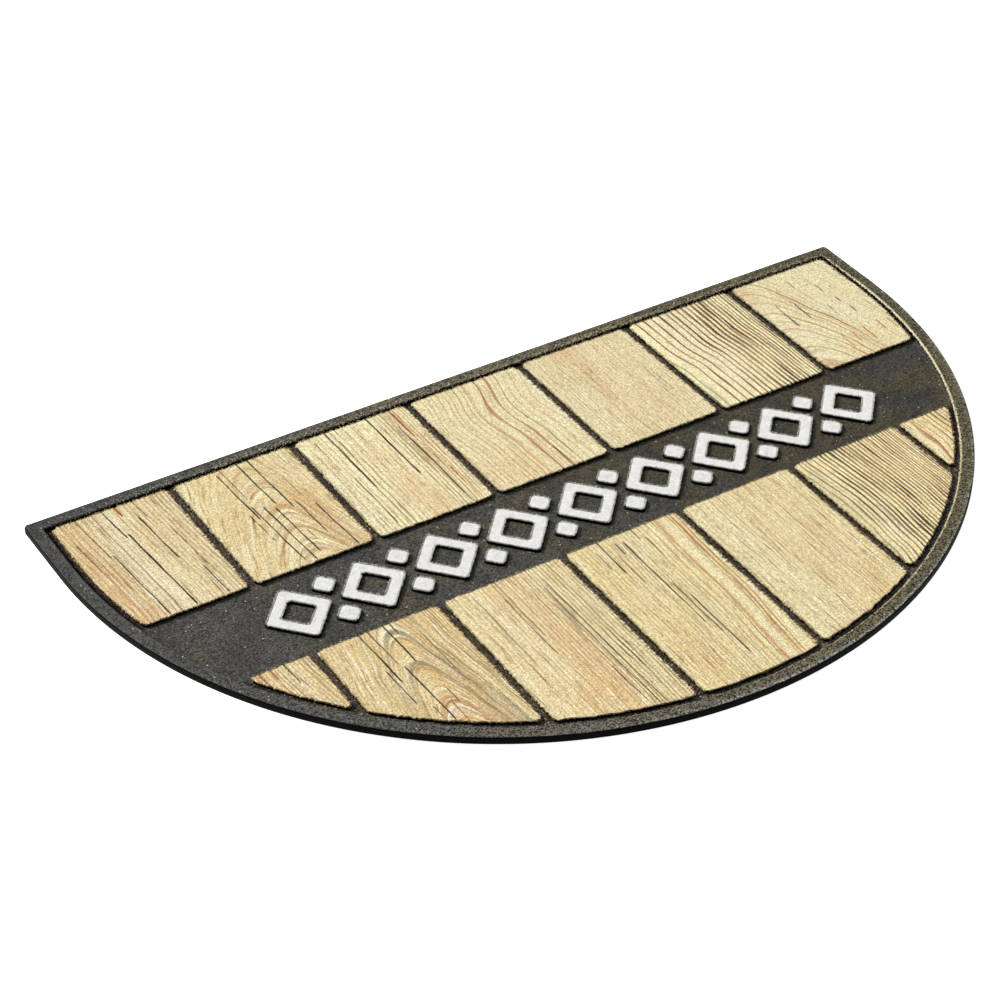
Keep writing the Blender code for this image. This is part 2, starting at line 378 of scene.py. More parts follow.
def tray_dust_and_painted_light(insets, across, along, at_back, heights):
    """How much film lies on each point of the tray, which also paints light and shade. Over 1, on the rim's outer edge
    in front, it turns silver, a painted highlight. On the rim it is less towards the left and right ends. Little or
    none on the walls and in the gutter paints their shade black, but there is more in the gutter where no plank would
    shade
    it: at the band's ends and along the front."""
    rows = np.concatenate(((UNDER_DUST, UNDER_DUST), TRAY_PROFILE[:, 2], (GROUND_DUST, GROUND_DUST)))[:, None]
    # Painted highlight: the dust over 1 at the rim's outer edge, little on the left, most from the middle to the right.
    edge_highlight = np.interp(across, (-0.15, 0.05, 0.2, 0.36), (0.1, 1.0, 1.0, 1.1))
    rows = np.minimum(rows, 1.0) + np.maximum(rows - 1.0, 0) * edge_highlight
    on_rim = np.interp(across, (-0.375, -0.15, 0.0, 0.3), (0.60, 0.96, 1.02, 0.77))
    on_rim = on_rim * (1 + at_back * np.interp(insets, (0.0, 0.01), (-0.24, 0.04)))
    on_ground = np.interp(across, (-0.375, 0.375), (1.06, 0.86))
    rows = rows * np.where(heights > GROUND_TOP + 0.0004, on_rim, on_ground)
    beside_band = np.interp(np.abs(along - BAND_MIDDLE_Y), (BAND_HALF_WIDTH - 0.004, BAND_HALF_WIDTH), (1.0, 0.0))
    in_front = np.interp(along, (-0.10, 0.0), (1.0, 0.0))
    # Painted shade: the gutter is kept dark, but lighter beside the band's ends and along the front, where no plank
    # would shade it.
    gutter = np.interp(insets, (GUTTER_START, 0.0121, 0.0127, GUTTER_END), (0.0, 0.4, 0.62, 0.62)) * beside_band
    thick = np.interp(insets, (GUTTER_START, 0.0121, 0.0130, 0.0152), (0.0, 0.5, 0.95, 0.95)) * in_front
    in_gutter = (insets > GUTTER_START) & (insets < GUTTER_END)
    return np.where(in_gutter, np.maximum(rows, np.maximum(gutter, thick)), rows)


def tray_lip_glint(insets, across, along, at_back):
    """The share of cells painted pale as a highlight at each point of the tray: most on the lip on the right, dots
    along the back.
    """
    glint_share = np.interp(across, (-0.05, 0.1, 0.2, 0.32), (0.0, 0.25, 0.55, 0.80))
    glint_share = glint_share + np.interp(along, (-0.02, 0.05, 0.14, 0.18), (0.0, 0.20, 0.20, -0.25)) * (across > 0.3)
    lip = np.interp(insets, (0.0093, 0.0100, 0.0104, 0.0109, 0.0114, 0.0118), (0.0, 0.45, 1.0, 1.0, 0.5, 0.0))
    dots = np.interp(insets, (0.0040, 0.0090, 0.0112, 0.0120), (0.0, 0.07, 0.22, 0.0))
    dots = dots * np.interp(across, (-0.375, 0.1), (0.35, 1.1))
    return lip * glint_share * (1 - at_back) + dots * at_back


rubber = rubber_finish()
loops = tray_loops()
tray = new_piece("rubber_tray", *skin(loops), rubber, "rubber")
insets = np.concatenate(((1.0, 1.0), TRAY_PROFILE[:, 0], (1.0, 1.0)))[:, None]
round_x, round_y = loops[-4, :, 0], loops[-4, :, 1]
at_back = np.interp(round_y, (0.19, 0.204), (0.0, 1.0))
# Dust on the tray, which also paints the shade of its walls and gutter and the highlight on the rim's outer edge.
dust_and_painted_light = tray_dust_and_painted_light(insets, round_x, round_y, at_back, loops[:, :, 2])
store(tray, "dust_and_painted_light", "FLOAT", np.append(dust_and_painted_light.ravel(), (UNDER_DUST, GROUND_DUST)))
# The cells of the lip painted pale as a highlight.
glint_share = tray_lip_glint(insets, round_x, round_y, at_back)
store(tray, "lip_glint", "FLOAT", np.append(glint_share.ravel(), (0.0, 0.0)))
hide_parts("rubber_base")


# The planks' pile: nylon flock blown upright into glue on low rubber plateaus, then printed with plank boards. Two
# rows of seven stand on the tray, each a dense velvet 1.2 mm deep with loose hairs round its edge.
PLANK_PITCH = 0.1045
PLANK_WIDTH = 0.0971
PLANK_COUNT = 7
PLANK_CORNER = 0.0035
TIP_CORNER = 0.0020
FIELD_INSET = 0.0165
PLATEAU_TOP = 0.0052
PILE_FOOT = 0.0055
PILE_TOP = 0.0067
HAIR_FOOT = 0.0059
PILE_STEP = 0.0010
CORNER_ROWS = 5
LAST_TURN = math.radians(84)
PILE_UNEVEN = 0.00016
EDGE_ROLL = 0.0007
# How far the pile spreads beyond its field on each side.
SPLAY = 0.0008
# Down the skirt of a pad, each row's distance out as a share of the roll, and its height.
SKIRT = np.array(((0.90, PILE_FOOT), (1.00, 0.0060), (0.86, 0.0064), (0.50, 0.00662)))
# How far the tufts of the edge stick out or stay back, all rows together and each row by itself, and its limits.
FRAY = 0.00055
FRAY_OF_ROW = 0.00012
FRAY_LIMITS = (-0.0005, 0.0012)
HAIRS_PER_METRE = 3400
TOP_HAIRS_PER_SQUARE_METRE = 250000
# The share of edge hairs painted dark as shade, fewer where they lean towards the light.
SHADOWED_EDGE_HAIRS = 0.50
TOWARDS_LIGHT = np.array((-0.537, 0.844))
# How much light reaches each row of the skirt: away from the light, and what facing the light adds.
SIDE_LIGHT = np.array(((0.02, 0.25), (0.06, 0.55), (0.30, 0.60), (0.75, 0.25)))
# The same where a long tuft hangs over the side.
LONG_TUFT_LIGHT = np.array(((0.10,), (0.40,), (0.75,), (0.95,)))
# Of the points round the edge, the share under a long tuft, and those above which a gap and a deep gap begin.
LONG_TUFTS, GAPS, DEEP_GAPS = 0.34, 0.60, 0.80
INK_SPREAD = 1.5
ARCH_START = 200.0
MM = 0.001

PALE = paint(240, 228, 190)
STRAW = paint(232, 208, 156)
TAN = paint(200, 158, 104)
ROSE = paint(196, 146, 104)
CINNAMON = paint(184, 132, 86)
HONEY = paint(222, 182, 126)
ORANGE = paint(216, 160, 104)
RUSSET = paint(168, 100, 44)
RUST = paint(188, 124, 50)
BROWN = paint(118, 88, 58)
UMBER = paint(40, 33, 26)
OXBLOOD = paint(92, 40, 30)
SEPIA = paint(48, 30, 20)
GREY_GREEN = paint(124, 126, 100)
BLUE_GREY = paint(122, 126, 122)
SLATE = paint(112, 110, 96)


def plank_grid(left, right, back, front, corner, inset):
    """Fills one plank with rows of points, back to front. A ball of the corner's radius rolls round inside the strip
    and the half-moon, and the two ends of a row are the ball's furthest reach there. The inset makes the ball
    smaller, so the whole outline draws in by as much."""
    ball = corner - inset
    half_moon = HALF_LENGTH - FIELD_INSET - corner
    nearest = max(max(left, -right) + corner, 0.0)
    centre_back = back - corner
    centre_front = max(front + corner, ARC_CENTRE_Y - math.sqrt(half_moon**2 - nearest**2))
    turn = np.linspace(0, 1, CORNER_ROWS + 1)
    count = round((centre_back - centre_front) / PILE_STEP)
    along = np.concatenate((
        centre_back + ball * np.cos(turn[:-1] * math.pi / 2),
        np.linspace(centre_back, centre_front, count, endpoint=False),
        centre_front - ball * np.sin(turn * LAST_TURN),
    ))
    roll = np.linspace(-ball, ball, 65)[:, None]
    centre = np.clip(along + roll, centre_front, centre_back)
    offset = np.abs(centre - along)
    reach = np.sqrt(np.maximum(ball**2 - offset**2, 0))
    limit = np.sqrt(half_moon**2 - np.minimum(centre - ARC_CENTRE_Y, 0) ** 2)
    near = offset <= ball + 1e-9
    lefts = np.where(near, np.maximum(left + corner, -limit) - reach, np.inf).min(axis=0)
    rights = np.where(near, np.minimum(right - corner, limit) + reach, -np.inf).max(axis=0)
    share = np.linspace(0, 1, round((rights - lefts).max() / PILE_STEP) + 1)
    across = lefts[:, None] + (rights - lefts)[:, None] * share
    return np.stack((across, np.broadcast_to(along[:, None], across.shape)), axis=-1)


def rim_of_grid(rows, columns):
    """The indices round a grid of points, anticlockwise: front row, right column, back row, left column."""
    index = np.arange(rows * columns).reshape(rows, columns)
    return np.concatenate((index[-1, :-1], index[:0:-1, -1], index[0, :0:-1], index[:-1, 0]))


def outward(loop):
    """The unit normals of an anticlockwise loop: each point's step to its neighbours, turned a quarter to the right."""
    step = np.roll(loop, -1, axis=0) - np.roll(loop, 1, axis=0)
    normal = np.stack((step[:, 1], -step[:, 0]), axis=-1)
    return normal / np.linalg.norm(normal, axis=-1, keepdims=True)


def raised(loops, heights):
    """Flat loops, each lifted to its height."""
    return np.concatenate((loops, np.broadcast_to(heights[:, None, None], loops.shape[:2] + (1,))), axis=-1)


def hairs(roots, directions, lengths, widths):
    """Closed spikes of four points each: three round the root at thirds of a turn, at right angles to the hair's
    direction, and one at its tip."""
    directions = directions / np.linalg.norm(directions, axis=-1, keepdims=True)
    first = np.cross(directions, np.where(np.abs(directions[:, 2:]) > 0.9, (1.0, 0, 0), (0, 0, 1.0)))
    first /= np.linalg.norm(first, axis=-1, keepdims=True)
    second = np.cross(directions, first)
    thirds = np.arange(3) * 2 * math.pi / 3
    spread = first[:, None] * np.cos(thirds)[:, None] + second[:, None] * np.sin(thirds)[:, None]
    feet = roots[:, None] + widths[:, None, None] * spread
    tips = roots + lengths[:, None] * directions
    points = np.concatenate((feet, tips[:, None]), axis=1).reshape(-1, 3)
    pattern = np.array(((0, 1, 3), (1, 2, 3), (2, 0, 3), (0, 2, 1)))
    faces = pattern + 4 * np.arange(len(roots))[:, None, None]
    return points, faces.reshape(-1, 3)


def edge_hairs(rng, loop, foot, top, count):
    """Hairs that lean out of a pile's edge or hang over it: each starts just inside the loop, at a height between foot
    and top, and points outward, up or down, with a little chance to every side. A few are thick clumps."""
    chosen = rng.integers(0, len(loop), count)
    normal = outward(loop)[chosen]
    between = rng.random((count, 1)) * (np.roll(loop, -1, axis=0) - loop)[chosen]
    start = loop[chosen] + between + normal * rng.uniform(-0.0004, 0.0001, (count, 1))
    height = foot + (top - foot) * np.sqrt(rng.random(count))
    lean = rng.uniform(math.radians(-50), math.radians(75), count)
    directions = np.column_stack((normal * np.cos(lean)[:, None], np.sin(lean)))
    directions += rng.normal(0, 0.35, (count, 3)) * (1, 1, 0.4)
    clump = rng.random(count) ** 2
    lengths = rng.uniform(0.0006, 0.0016, count) + 0.0005 * clump
    return hairs(np.column_stack((start, height)), directions, lengths, 0.00012 + 0.00030 * clump)


def top_hairs(rng, spots):
    """Short hairs that stand out of the top of a pile, one at each spot, leaning any way by up to 50 degrees."""
    count = len(spots)
    lean = rng.uniform(0, math.radians(50), count)
    turn = rng.uniform(0, 2 * math.pi, count)
    directions = np.column_stack((np.sin(lean) * np.cos(turn), np.sin(lean) * np.sin(turn), np.cos(lean)))
    roots = np.column_stack((spots, np.full(count, PILE_TOP - 0.0002)))
    return hairs(roots, directions, rng.uniform(0.0003, 0.0006, count), rng.uniform(0.00009, 0.00016, count))


def facing_light(directions):
    """How much each level direction faces the light: 0 turned away from it, 1 turned to it."""
    return np.clip(0.5 + 0.9 * directions @ TOWARDS_LIGHT, 0, 1)


def pad_light(rng, normal, edge, rows, columns):
    """The share of light on each point of a pad: full on top, and down the skirt what the light's direction leaves.
    Round the edge, at random, a long tuft hangs lit over the side, or a gap darkens it, at times one point deeper."""
    facing = facing_light(normal)
    side_light = SIDE_LIGHT[:, :1] + SIDE_LIGHT[:, 1:] * facing
    tuft = rng.random(len(edge))
    side_light = np.where(tuft < LONG_TUFTS, np.maximum(side_light, LONG_TUFT_LIGHT), side_light)
    gap = np.where(tuft > GAPS, 0.18 + 0.55 * facing, 1.0)
    row, column = np.divmod(edge, columns)
    next_in = np.clip(row, 1, rows - 2) * columns + np.clip(column, 1, columns - 2)
    top_light = np.ones(rows * columns)
    top_light[next_in] = np.where(tuft > DEEP_GAPS, 0.40 + 0.50 * facing, 1.0)
    top_light[edge] = gap
    return np.concatenate((top_light, (side_light * gap).ravel()))


def pile_pad(rng, grid):
    """A closed pad of pile over a grid of places: an uneven top, a skirt that rolls over and drops to the foot along
    the outline's normals, and a flat underside. Hairs stand on it and round it, and some of those round it are
    painted dark as shade, fewest where they face the light. Returns points, faces, the outline at its widest, and each
    point's share of light."""
    rows, columns, _ = grid.shape
    places = grid.reshape(-1, 2)
    top = PILE_TOP - PILE_UNEVEN * rng.random(len(places))
    edge = rim_of_grid(rows, columns)
    loop = places[edge]
    normal = outward(loop)
    frayed = rng.normal(0, FRAY, len(loop)) + rng.normal(0, FRAY_OF_ROW, (len(SKIRT), len(loop)))
    skirt = loop + normal * (SKIRT[:, :1] * EDGE_ROLL + np.clip(frayed, *FRAY_LIMITS))[:, :, None]
    skirt = raised(skirt, SKIRT[:, 1])
    points = np.concatenate((np.column_stack((places, top)), skirt.reshape(-1, 3)))

    here = np.arange(rows - 1)[:, None] * columns + np.arange(columns - 1)
    on_top = np.stack((here, here + columns, here + columns + 1, here + 1), axis=-1).reshape(-1, 4)
    stack = len(places) + np.arange(len(skirt))[:, None] * len(loop) + np.arange(len(loop))
    stack = np.concatenate((stack, edge[None]))
    after = np.roll(stack, -1, axis=1)
    down = np.stack((stack[:-1], after[:-1], after[1:], stack[1:]), axis=-1).reshape(-1, 4)
    faces = np.concatenate((on_top, down)).tolist() + [stack[0, ::-1].tolist()]
    light = pad_light(rng, normal, edge, rows, columns)

    widest = loop + normal * EDGE_ROLL
    length = np.linalg.norm(np.roll(loop, -1, axis=0) - loop, axis=-1).sum()
    sides = edge_hairs(rng, widest, HAIR_FOOT, PILE_TOP, round(length * HAIRS_PER_METRE))
    cell = np.linalg.norm(np.cross(np.diff(grid[:-1], axis=1), np.diff(grid[:, :-1], axis=0))[..., None], axis=-1)
    area = cell.sum()
    chosen = rng.choice(cell.size, round(area * TOP_HAIRS_PER_SQUARE_METRE), p=cell.ravel() / area)
    corner = grid[:-1, :-1].reshape(-1, 2)[chosen]
    spots = corner + rng.uniform(-0.5, 0.5, corner.shape) * PILE_STEP
    # Painted shade: a share of the hairs round the edge, fewer where they lean towards the light, get 0.08 of full
    # light.
    for (hair_points, hair_faces), bare in ((sides, SHADOWED_EDGE_HAIRS), (top_hairs(rng, spots), 0.0)):
        faces += (hair_faces + len(points)).tolist()
        points = np.concatenate((points, hair_points))
        leaning = hair_points[3::4, :2] - hair_points[0::4, :2]
        leaning /= np.linalg.norm(leaning, axis=-1, keepdims=True)
        bare = bare * (1 - 0.75 * facing_light(leaning))
        printed = np.where(rng.random(len(leaning)) < bare, 0.08, 1.0)[:, None]
        light = np.append(light, printed * (0.5, 0.5, 0.5, 1.0))
    return points, faces, widest, light


def board(base, patches=(), bend=((0, 0),), shares=(1, 1), arch=None, lines=(), cracks=(), lean=0.0, streaks=1.0):
    """One plank's print, in millimetres across and along from its back left corner. patches are soft spots of colour:
    across, along, half width, half length, colour, strength. bend is how far the grain moves sideways at a distance
    along, and shares how much of that the left and right edges take. arch is the peak's place, and how steeply its
    left and right legs drop. lines are the dark edges of the year rings: place, half width, colour, strength. cracks
    are thin dashes: place, start, end, half width, colour. lean is how far a crack moves sideways over 100 mm, and
    streaks how strong the pores are."""
    return {
        "base": base, "patches": patches, "bend": bend, "shares": shares,
        "arch": arch, "lines": lines, "cracks": cracks, "lean": lean, "streaks": streaks,
    }


def rings(first, last, wide, narrow, half_width, colours, strengths, seed):
    """Year rings from first to last, whose spacing goes evenly from wide to narrow, each moved by up to a seventh of
    it. Their colour goes from the first to the second, and their strength lies at random between the two given."""
    rng = np.random.default_rng(seed)
    count = round((last - first) / ((wide + narrow) / 2))
    spacing = np.linspace(wide, narrow, count)
    places = first + np.cumsum(spacing) + rng.uniform(-0.15, 0.15, count) * spacing
    share = np.linspace(0, 1, count)[:, None]
    colours = np.array(colours[0]) * (1 - share) + np.array(colours[-1]) * share
    widths = np.minimum(half_width, 0.14 * spacing) * rng.uniform(0.8, 1.2, count)
    return list(zip(places, widths, map(tuple, colours), rng.uniform(*strengths, count)))


def peaks(places):
    """The lines of an arch whose tops lie at these distances along, as places in the ring field."""
    return [(3 * math.sqrt(ARCH_START - along), width, colour, strength) for along, width, colour, strength in places]


BACK_BOARDS = (
    board(
        paint(233, 215, 170),
        patches=(
            (12, 60, 16, 80, HONEY, 0.8), (45, 75, 13, 90, PALE, 0.95), (14, 128, 20, 20, ORANGE, 0.5),
            (68, 90, 6, 30, PALE, 0.5), (58, 40, 5, 40, HONEY, 0.4),
        ),
        bend=((0, 0), (135, 9)),
        lines=rings(-8, 34, 4.2, 4.6, 0.5, (TAN, BROWN), (0.3, 0.7), 1)
        + rings(34, 54, 5.6, 5.6, 0.4, (TAN, TAN), (0.15, 0.35), 20)
        + rings(58, 100, 3.4, 3.2, 0.42, (TAN, BROWN), (0.35, 0.7), 2),
        cracks=(
            (9, 25, 68, 0.30, BROWN), (22, 0, 55, 0.30, BROWN), (24, 50, 135, 0.42, UMBER),
            (44, 0, 40, 0.42, UMBER), (46, 33, 135, 0.55, UMBER), (54, 0, 14, 0.9, RUSSET),
            (63, 18, 80, 0.42, UMBER), (69, 0, 24, 0.3, BROWN), (72.5, 95, 135, 0.4, UMBER),
            (76, 38, 100, 0.32, BROWN),
        ),
        lean=8.0,
        streaks=0.95,
    ),
    board(
        paint(237, 219, 167),
        patches=(
            (20, 40, 20, 50, STRAW, 0.6), (52, 115, 12, 20, PALE, 0.5), (47, 58, 9, 4, BLUE_GREY, 0.28),
            (50, 90, 7, 4, BLUE_GREY, 0.3), (40, 95, 3, 4, BLUE_GREY, 0.4), (80, 80, 14, 40, HONEY, 0.5),
            (62, 60, 12, 6, HONEY, 0.5), (88, 25, 10, 25, PALE, 0.4),
        ),
        arch=(57, 0.040, 0.11),
        lines=peaks((
            (-14, 0.9, CINNAMON, 0.45), (-3, 0.4, TAN, 0.6), (7, 0.9, CINNAMON, 0.35), (16, 0.4, TAN, 0.5),
            (28, 1.5, CINNAMON, 0.62), (36, 0.4, TAN, 0.5), (44, 0.7, CINNAMON, 0.3), (53, 0.4, BROWN, 0.35),
            (63, 1.6, CINNAMON, 0.68), (72, 0.4, TAN, 0.5), (80, 0.5, CINNAMON, 0.4), (90, 1.3, CINNAMON, 0.62),
            (98, 0.4, BROWN, 0.4), (106, 0.4, TAN, 0.5), (121, 1.1, CINNAMON, 0.5), (131, 0.4, TAN, 0.5),
            (149, 0.8, CINNAMON, 0.5), (165, 0.5, TAN, 0.5),
        )) + rings(44, 66, 1.9, 1.7, 0.34, (TAN, BROWN), (0.3, 0.7), 3),
        cracks=(
            (33.5, 3, 72, 0.40, UMBER), (38, 0, 44, 0.28, BROWN), (30.0, 60, 100, 0.32, UMBER),
            (35.5, 52, 132, 0.34, UMBER), (43, 56, 135, 0.42, UMBER), (53, 0, 60, 0.44, UMBER),
            (50.5, 62, 128, 0.38, UMBER), (56, 98, 112, 0.3, BROWN), (62.5, 0, 70, 0.42, UMBER),
            (67, 62, 110, 0.34, UMBER), (75, 30, 60, 0.24, BROWN), (78, 72, 135, 0.4, UMBER),
            (88, 12, 22, 0.3, BROWN),
        ),
        lean=5.5,
        streaks=0.95,
    ),
    board(
        paint(249, 240, 193),
        patches=(
            (52, 100, 13, 42, ORANGE, 0.5), (48, 42, 14, 14, HONEY, 0.45), (57, 38, 8, 5, PALE, 0.8),
            (5, 85, 7, 60, PALE, 0.8), (60, 118, 8, 18, ORANGE, 0.35), (84, 55, 10, 70, HONEY, 0.5),
            (16, 55, 8, 5, PALE, 0.5),
        ),
        lines=rings(3, 38, 4.6, 4.6, 0.36, (TAN, BROWN), (0.3, 0.65), 4)
        + rings(38, 66, 4.0, 3.0, 0.30, (TAN, TAN), (0.15, 0.4), 5)
        + rings(66, 98, 3.2, 2.6, 0.42, (BROWN, RUSSET), (0.3, 0.7), 6),
        cracks=(
            (14.5, 5, 50, 0.3, BROWN), (17.5, 60, 128, 0.32, UMBER), (26.5, 0, 82, 0.42, UMBER),
            (30.5, 12, 40, 0.3, BROWN), (63.5, 0, 84, 0.52, UMBER), (80.5, 20, 135, 0.44, UMBER),
            (84.5, 0, 40, 0.7, RUSSET), (86.5, 85, 112, 0.5, RUSSET),
        ),
        lean=0.4,
    ),
    board(
        paint(238, 226, 182),
        patches=(
            (15, 118, 20, 25, STRAW, 0.6), (88, 60, 8, 60, PALE, 0.6), (84, 55, 2.5, 16, HONEY, 0.6),
            (40, 110, 16, 30, HONEY, 0.25), (58, 105, 5, 25, ORANGE, 0.3),
        ),
        bend=((0, 0), (46, -9), (92, -3), (135, -1)),
        shares=(0.8, 0.9),
        lines=rings(0, 45, 4.2, 5.2, 0.42, (TAN, TAN), (0.45, 0.85), 7)
        + [
            (46.5, 0.5, RUST, 0.9), (57.5, 0.7, RUSSET, 0.85), (62.5, 0.3, TAN, 0.7), (67.0, 0.7, RUSSET, 0.82),
            (71.5, 0.3, TAN, 0.6), (75.5, 0.4, paint(150, 104, 62), 0.8), (82.0, 0.3, TAN, 0.5),
            (88.0, 0.7, TAN, 0.4), (95.0, 0.6, TAN, 0.4),
        ],
        cracks=((66.5, 104, 130, 0.3, BROWN), (68, 58, 66, 0.3, BROWN)),
        lean=0.0,
        streaks=0.55,
    ),
    board(
        paint(232, 218, 174),
        patches=(
            (38, 40, 9, 90, HONEY, 0.42), (67, 70, 7, 80, HONEY, 0.34), (36, 6, 10, 8, ORANGE, 0.4),
            (12, 95, 12, 40, PALE, 0.5), (58, 40, 8, 40, PALE, 0.4),
        ),
        lines=rings(2, 98, 2.6, 2.4, 0.32, (TAN, TAN), (0.12, 0.45), 8),
        streaks=0.85,
    ),
    board(
        paint(255, 243, 191),
        patches=(
            (5, 118, 4, 24, GREY_GREEN, 0.35), (70, 60, 24, 80, HONEY, 0.25),
            (30, 60, 24, 80, paint(238, 216, 190), 0.5),
        ),
        bend=((0, 0), (42, 0), (84, 8), (135, 10)),
        shares=(1.0, 0.2),
        lines=[
            (-8.5, 0.6, GREY_GREEN, 0.9), (-4.0, 0.6, paint(150, 140, 100), 0.7), (7.0, 0.5, OXBLOOD, 0.95),
            (14.5, 0.5, OXBLOOD, 0.95), (21.5, 0.5, OXBLOOD, 0.95), (29.5, 0.5, OXBLOOD, 0.95),
        ] + rings(30, 99, 5.6, 2.2, 0.54, (OXBLOOD, paint(56, 28, 18)), (0.95, 1.0), 9),
        streaks=0.5,
    ),
    board(
        paint(233, 223, 181),
        patches=(
            (3, 12, 8, 20, HONEY, 0.5), (30, 30, 10, 22, HONEY, 0.25),
            (70, 115, 26, 14, STRAW, 0.5), (75, 45, 20, 14, STRAW, 0.35),
        ),
        arch=(2, 0.02, 0.045),
        lines=peaks((
            (-60, 0.4, TAN, 0.3), (-42, 0.4, TAN, 0.35), (-24, 0.4, TAN, 0.5), (-12, 0.6, RUSSET, 0.85),
            (-2, 0.4, TAN, 0.7), (12, 0.45, RUST, 0.75), (27, 0.4, TAN, 0.6), (46, 0.5, RUST, 0.9),
            (60, 0.4, TAN, 0.5), (72, 0.5, RUST, 0.8), (86, 0.4, RUST, 0.6), (102, 0.5, RUST, 0.75),
            (122, 0.45, RUST, 0.6),
        )) + rings(50, 78, 6.0, 5.0, 0.36, (TAN, TAN), (0.12, 0.30), 10),
        cracks=(
            (19, 36, 74, 0.36, UMBER), (34, 42, 70, 0.34, UMBER), (41, 100, 122, 0.45, TAN),
            (48, 12, 26, 0.3, BROWN), (51, 98, 118, 0.5, RUST), (57, 58, 76, 0.28, BROWN),
            (60, 24, 27, 0.9, BROWN), (64, 98, 122, 0.45, RUST), (66, 28, 42, 0.4, UMBER), (70, 52, 62, 0.4, UMBER),
            (73, 68, 80, 0.34, UMBER), (76, 36, 39, 0.9, BROWN), (79, 96, 114, 0.6, RUST),
            (88, 100, 118, 0.45, RUST),
        ),
        lean=-3.0,
        streaks=0.35,
    ),
)
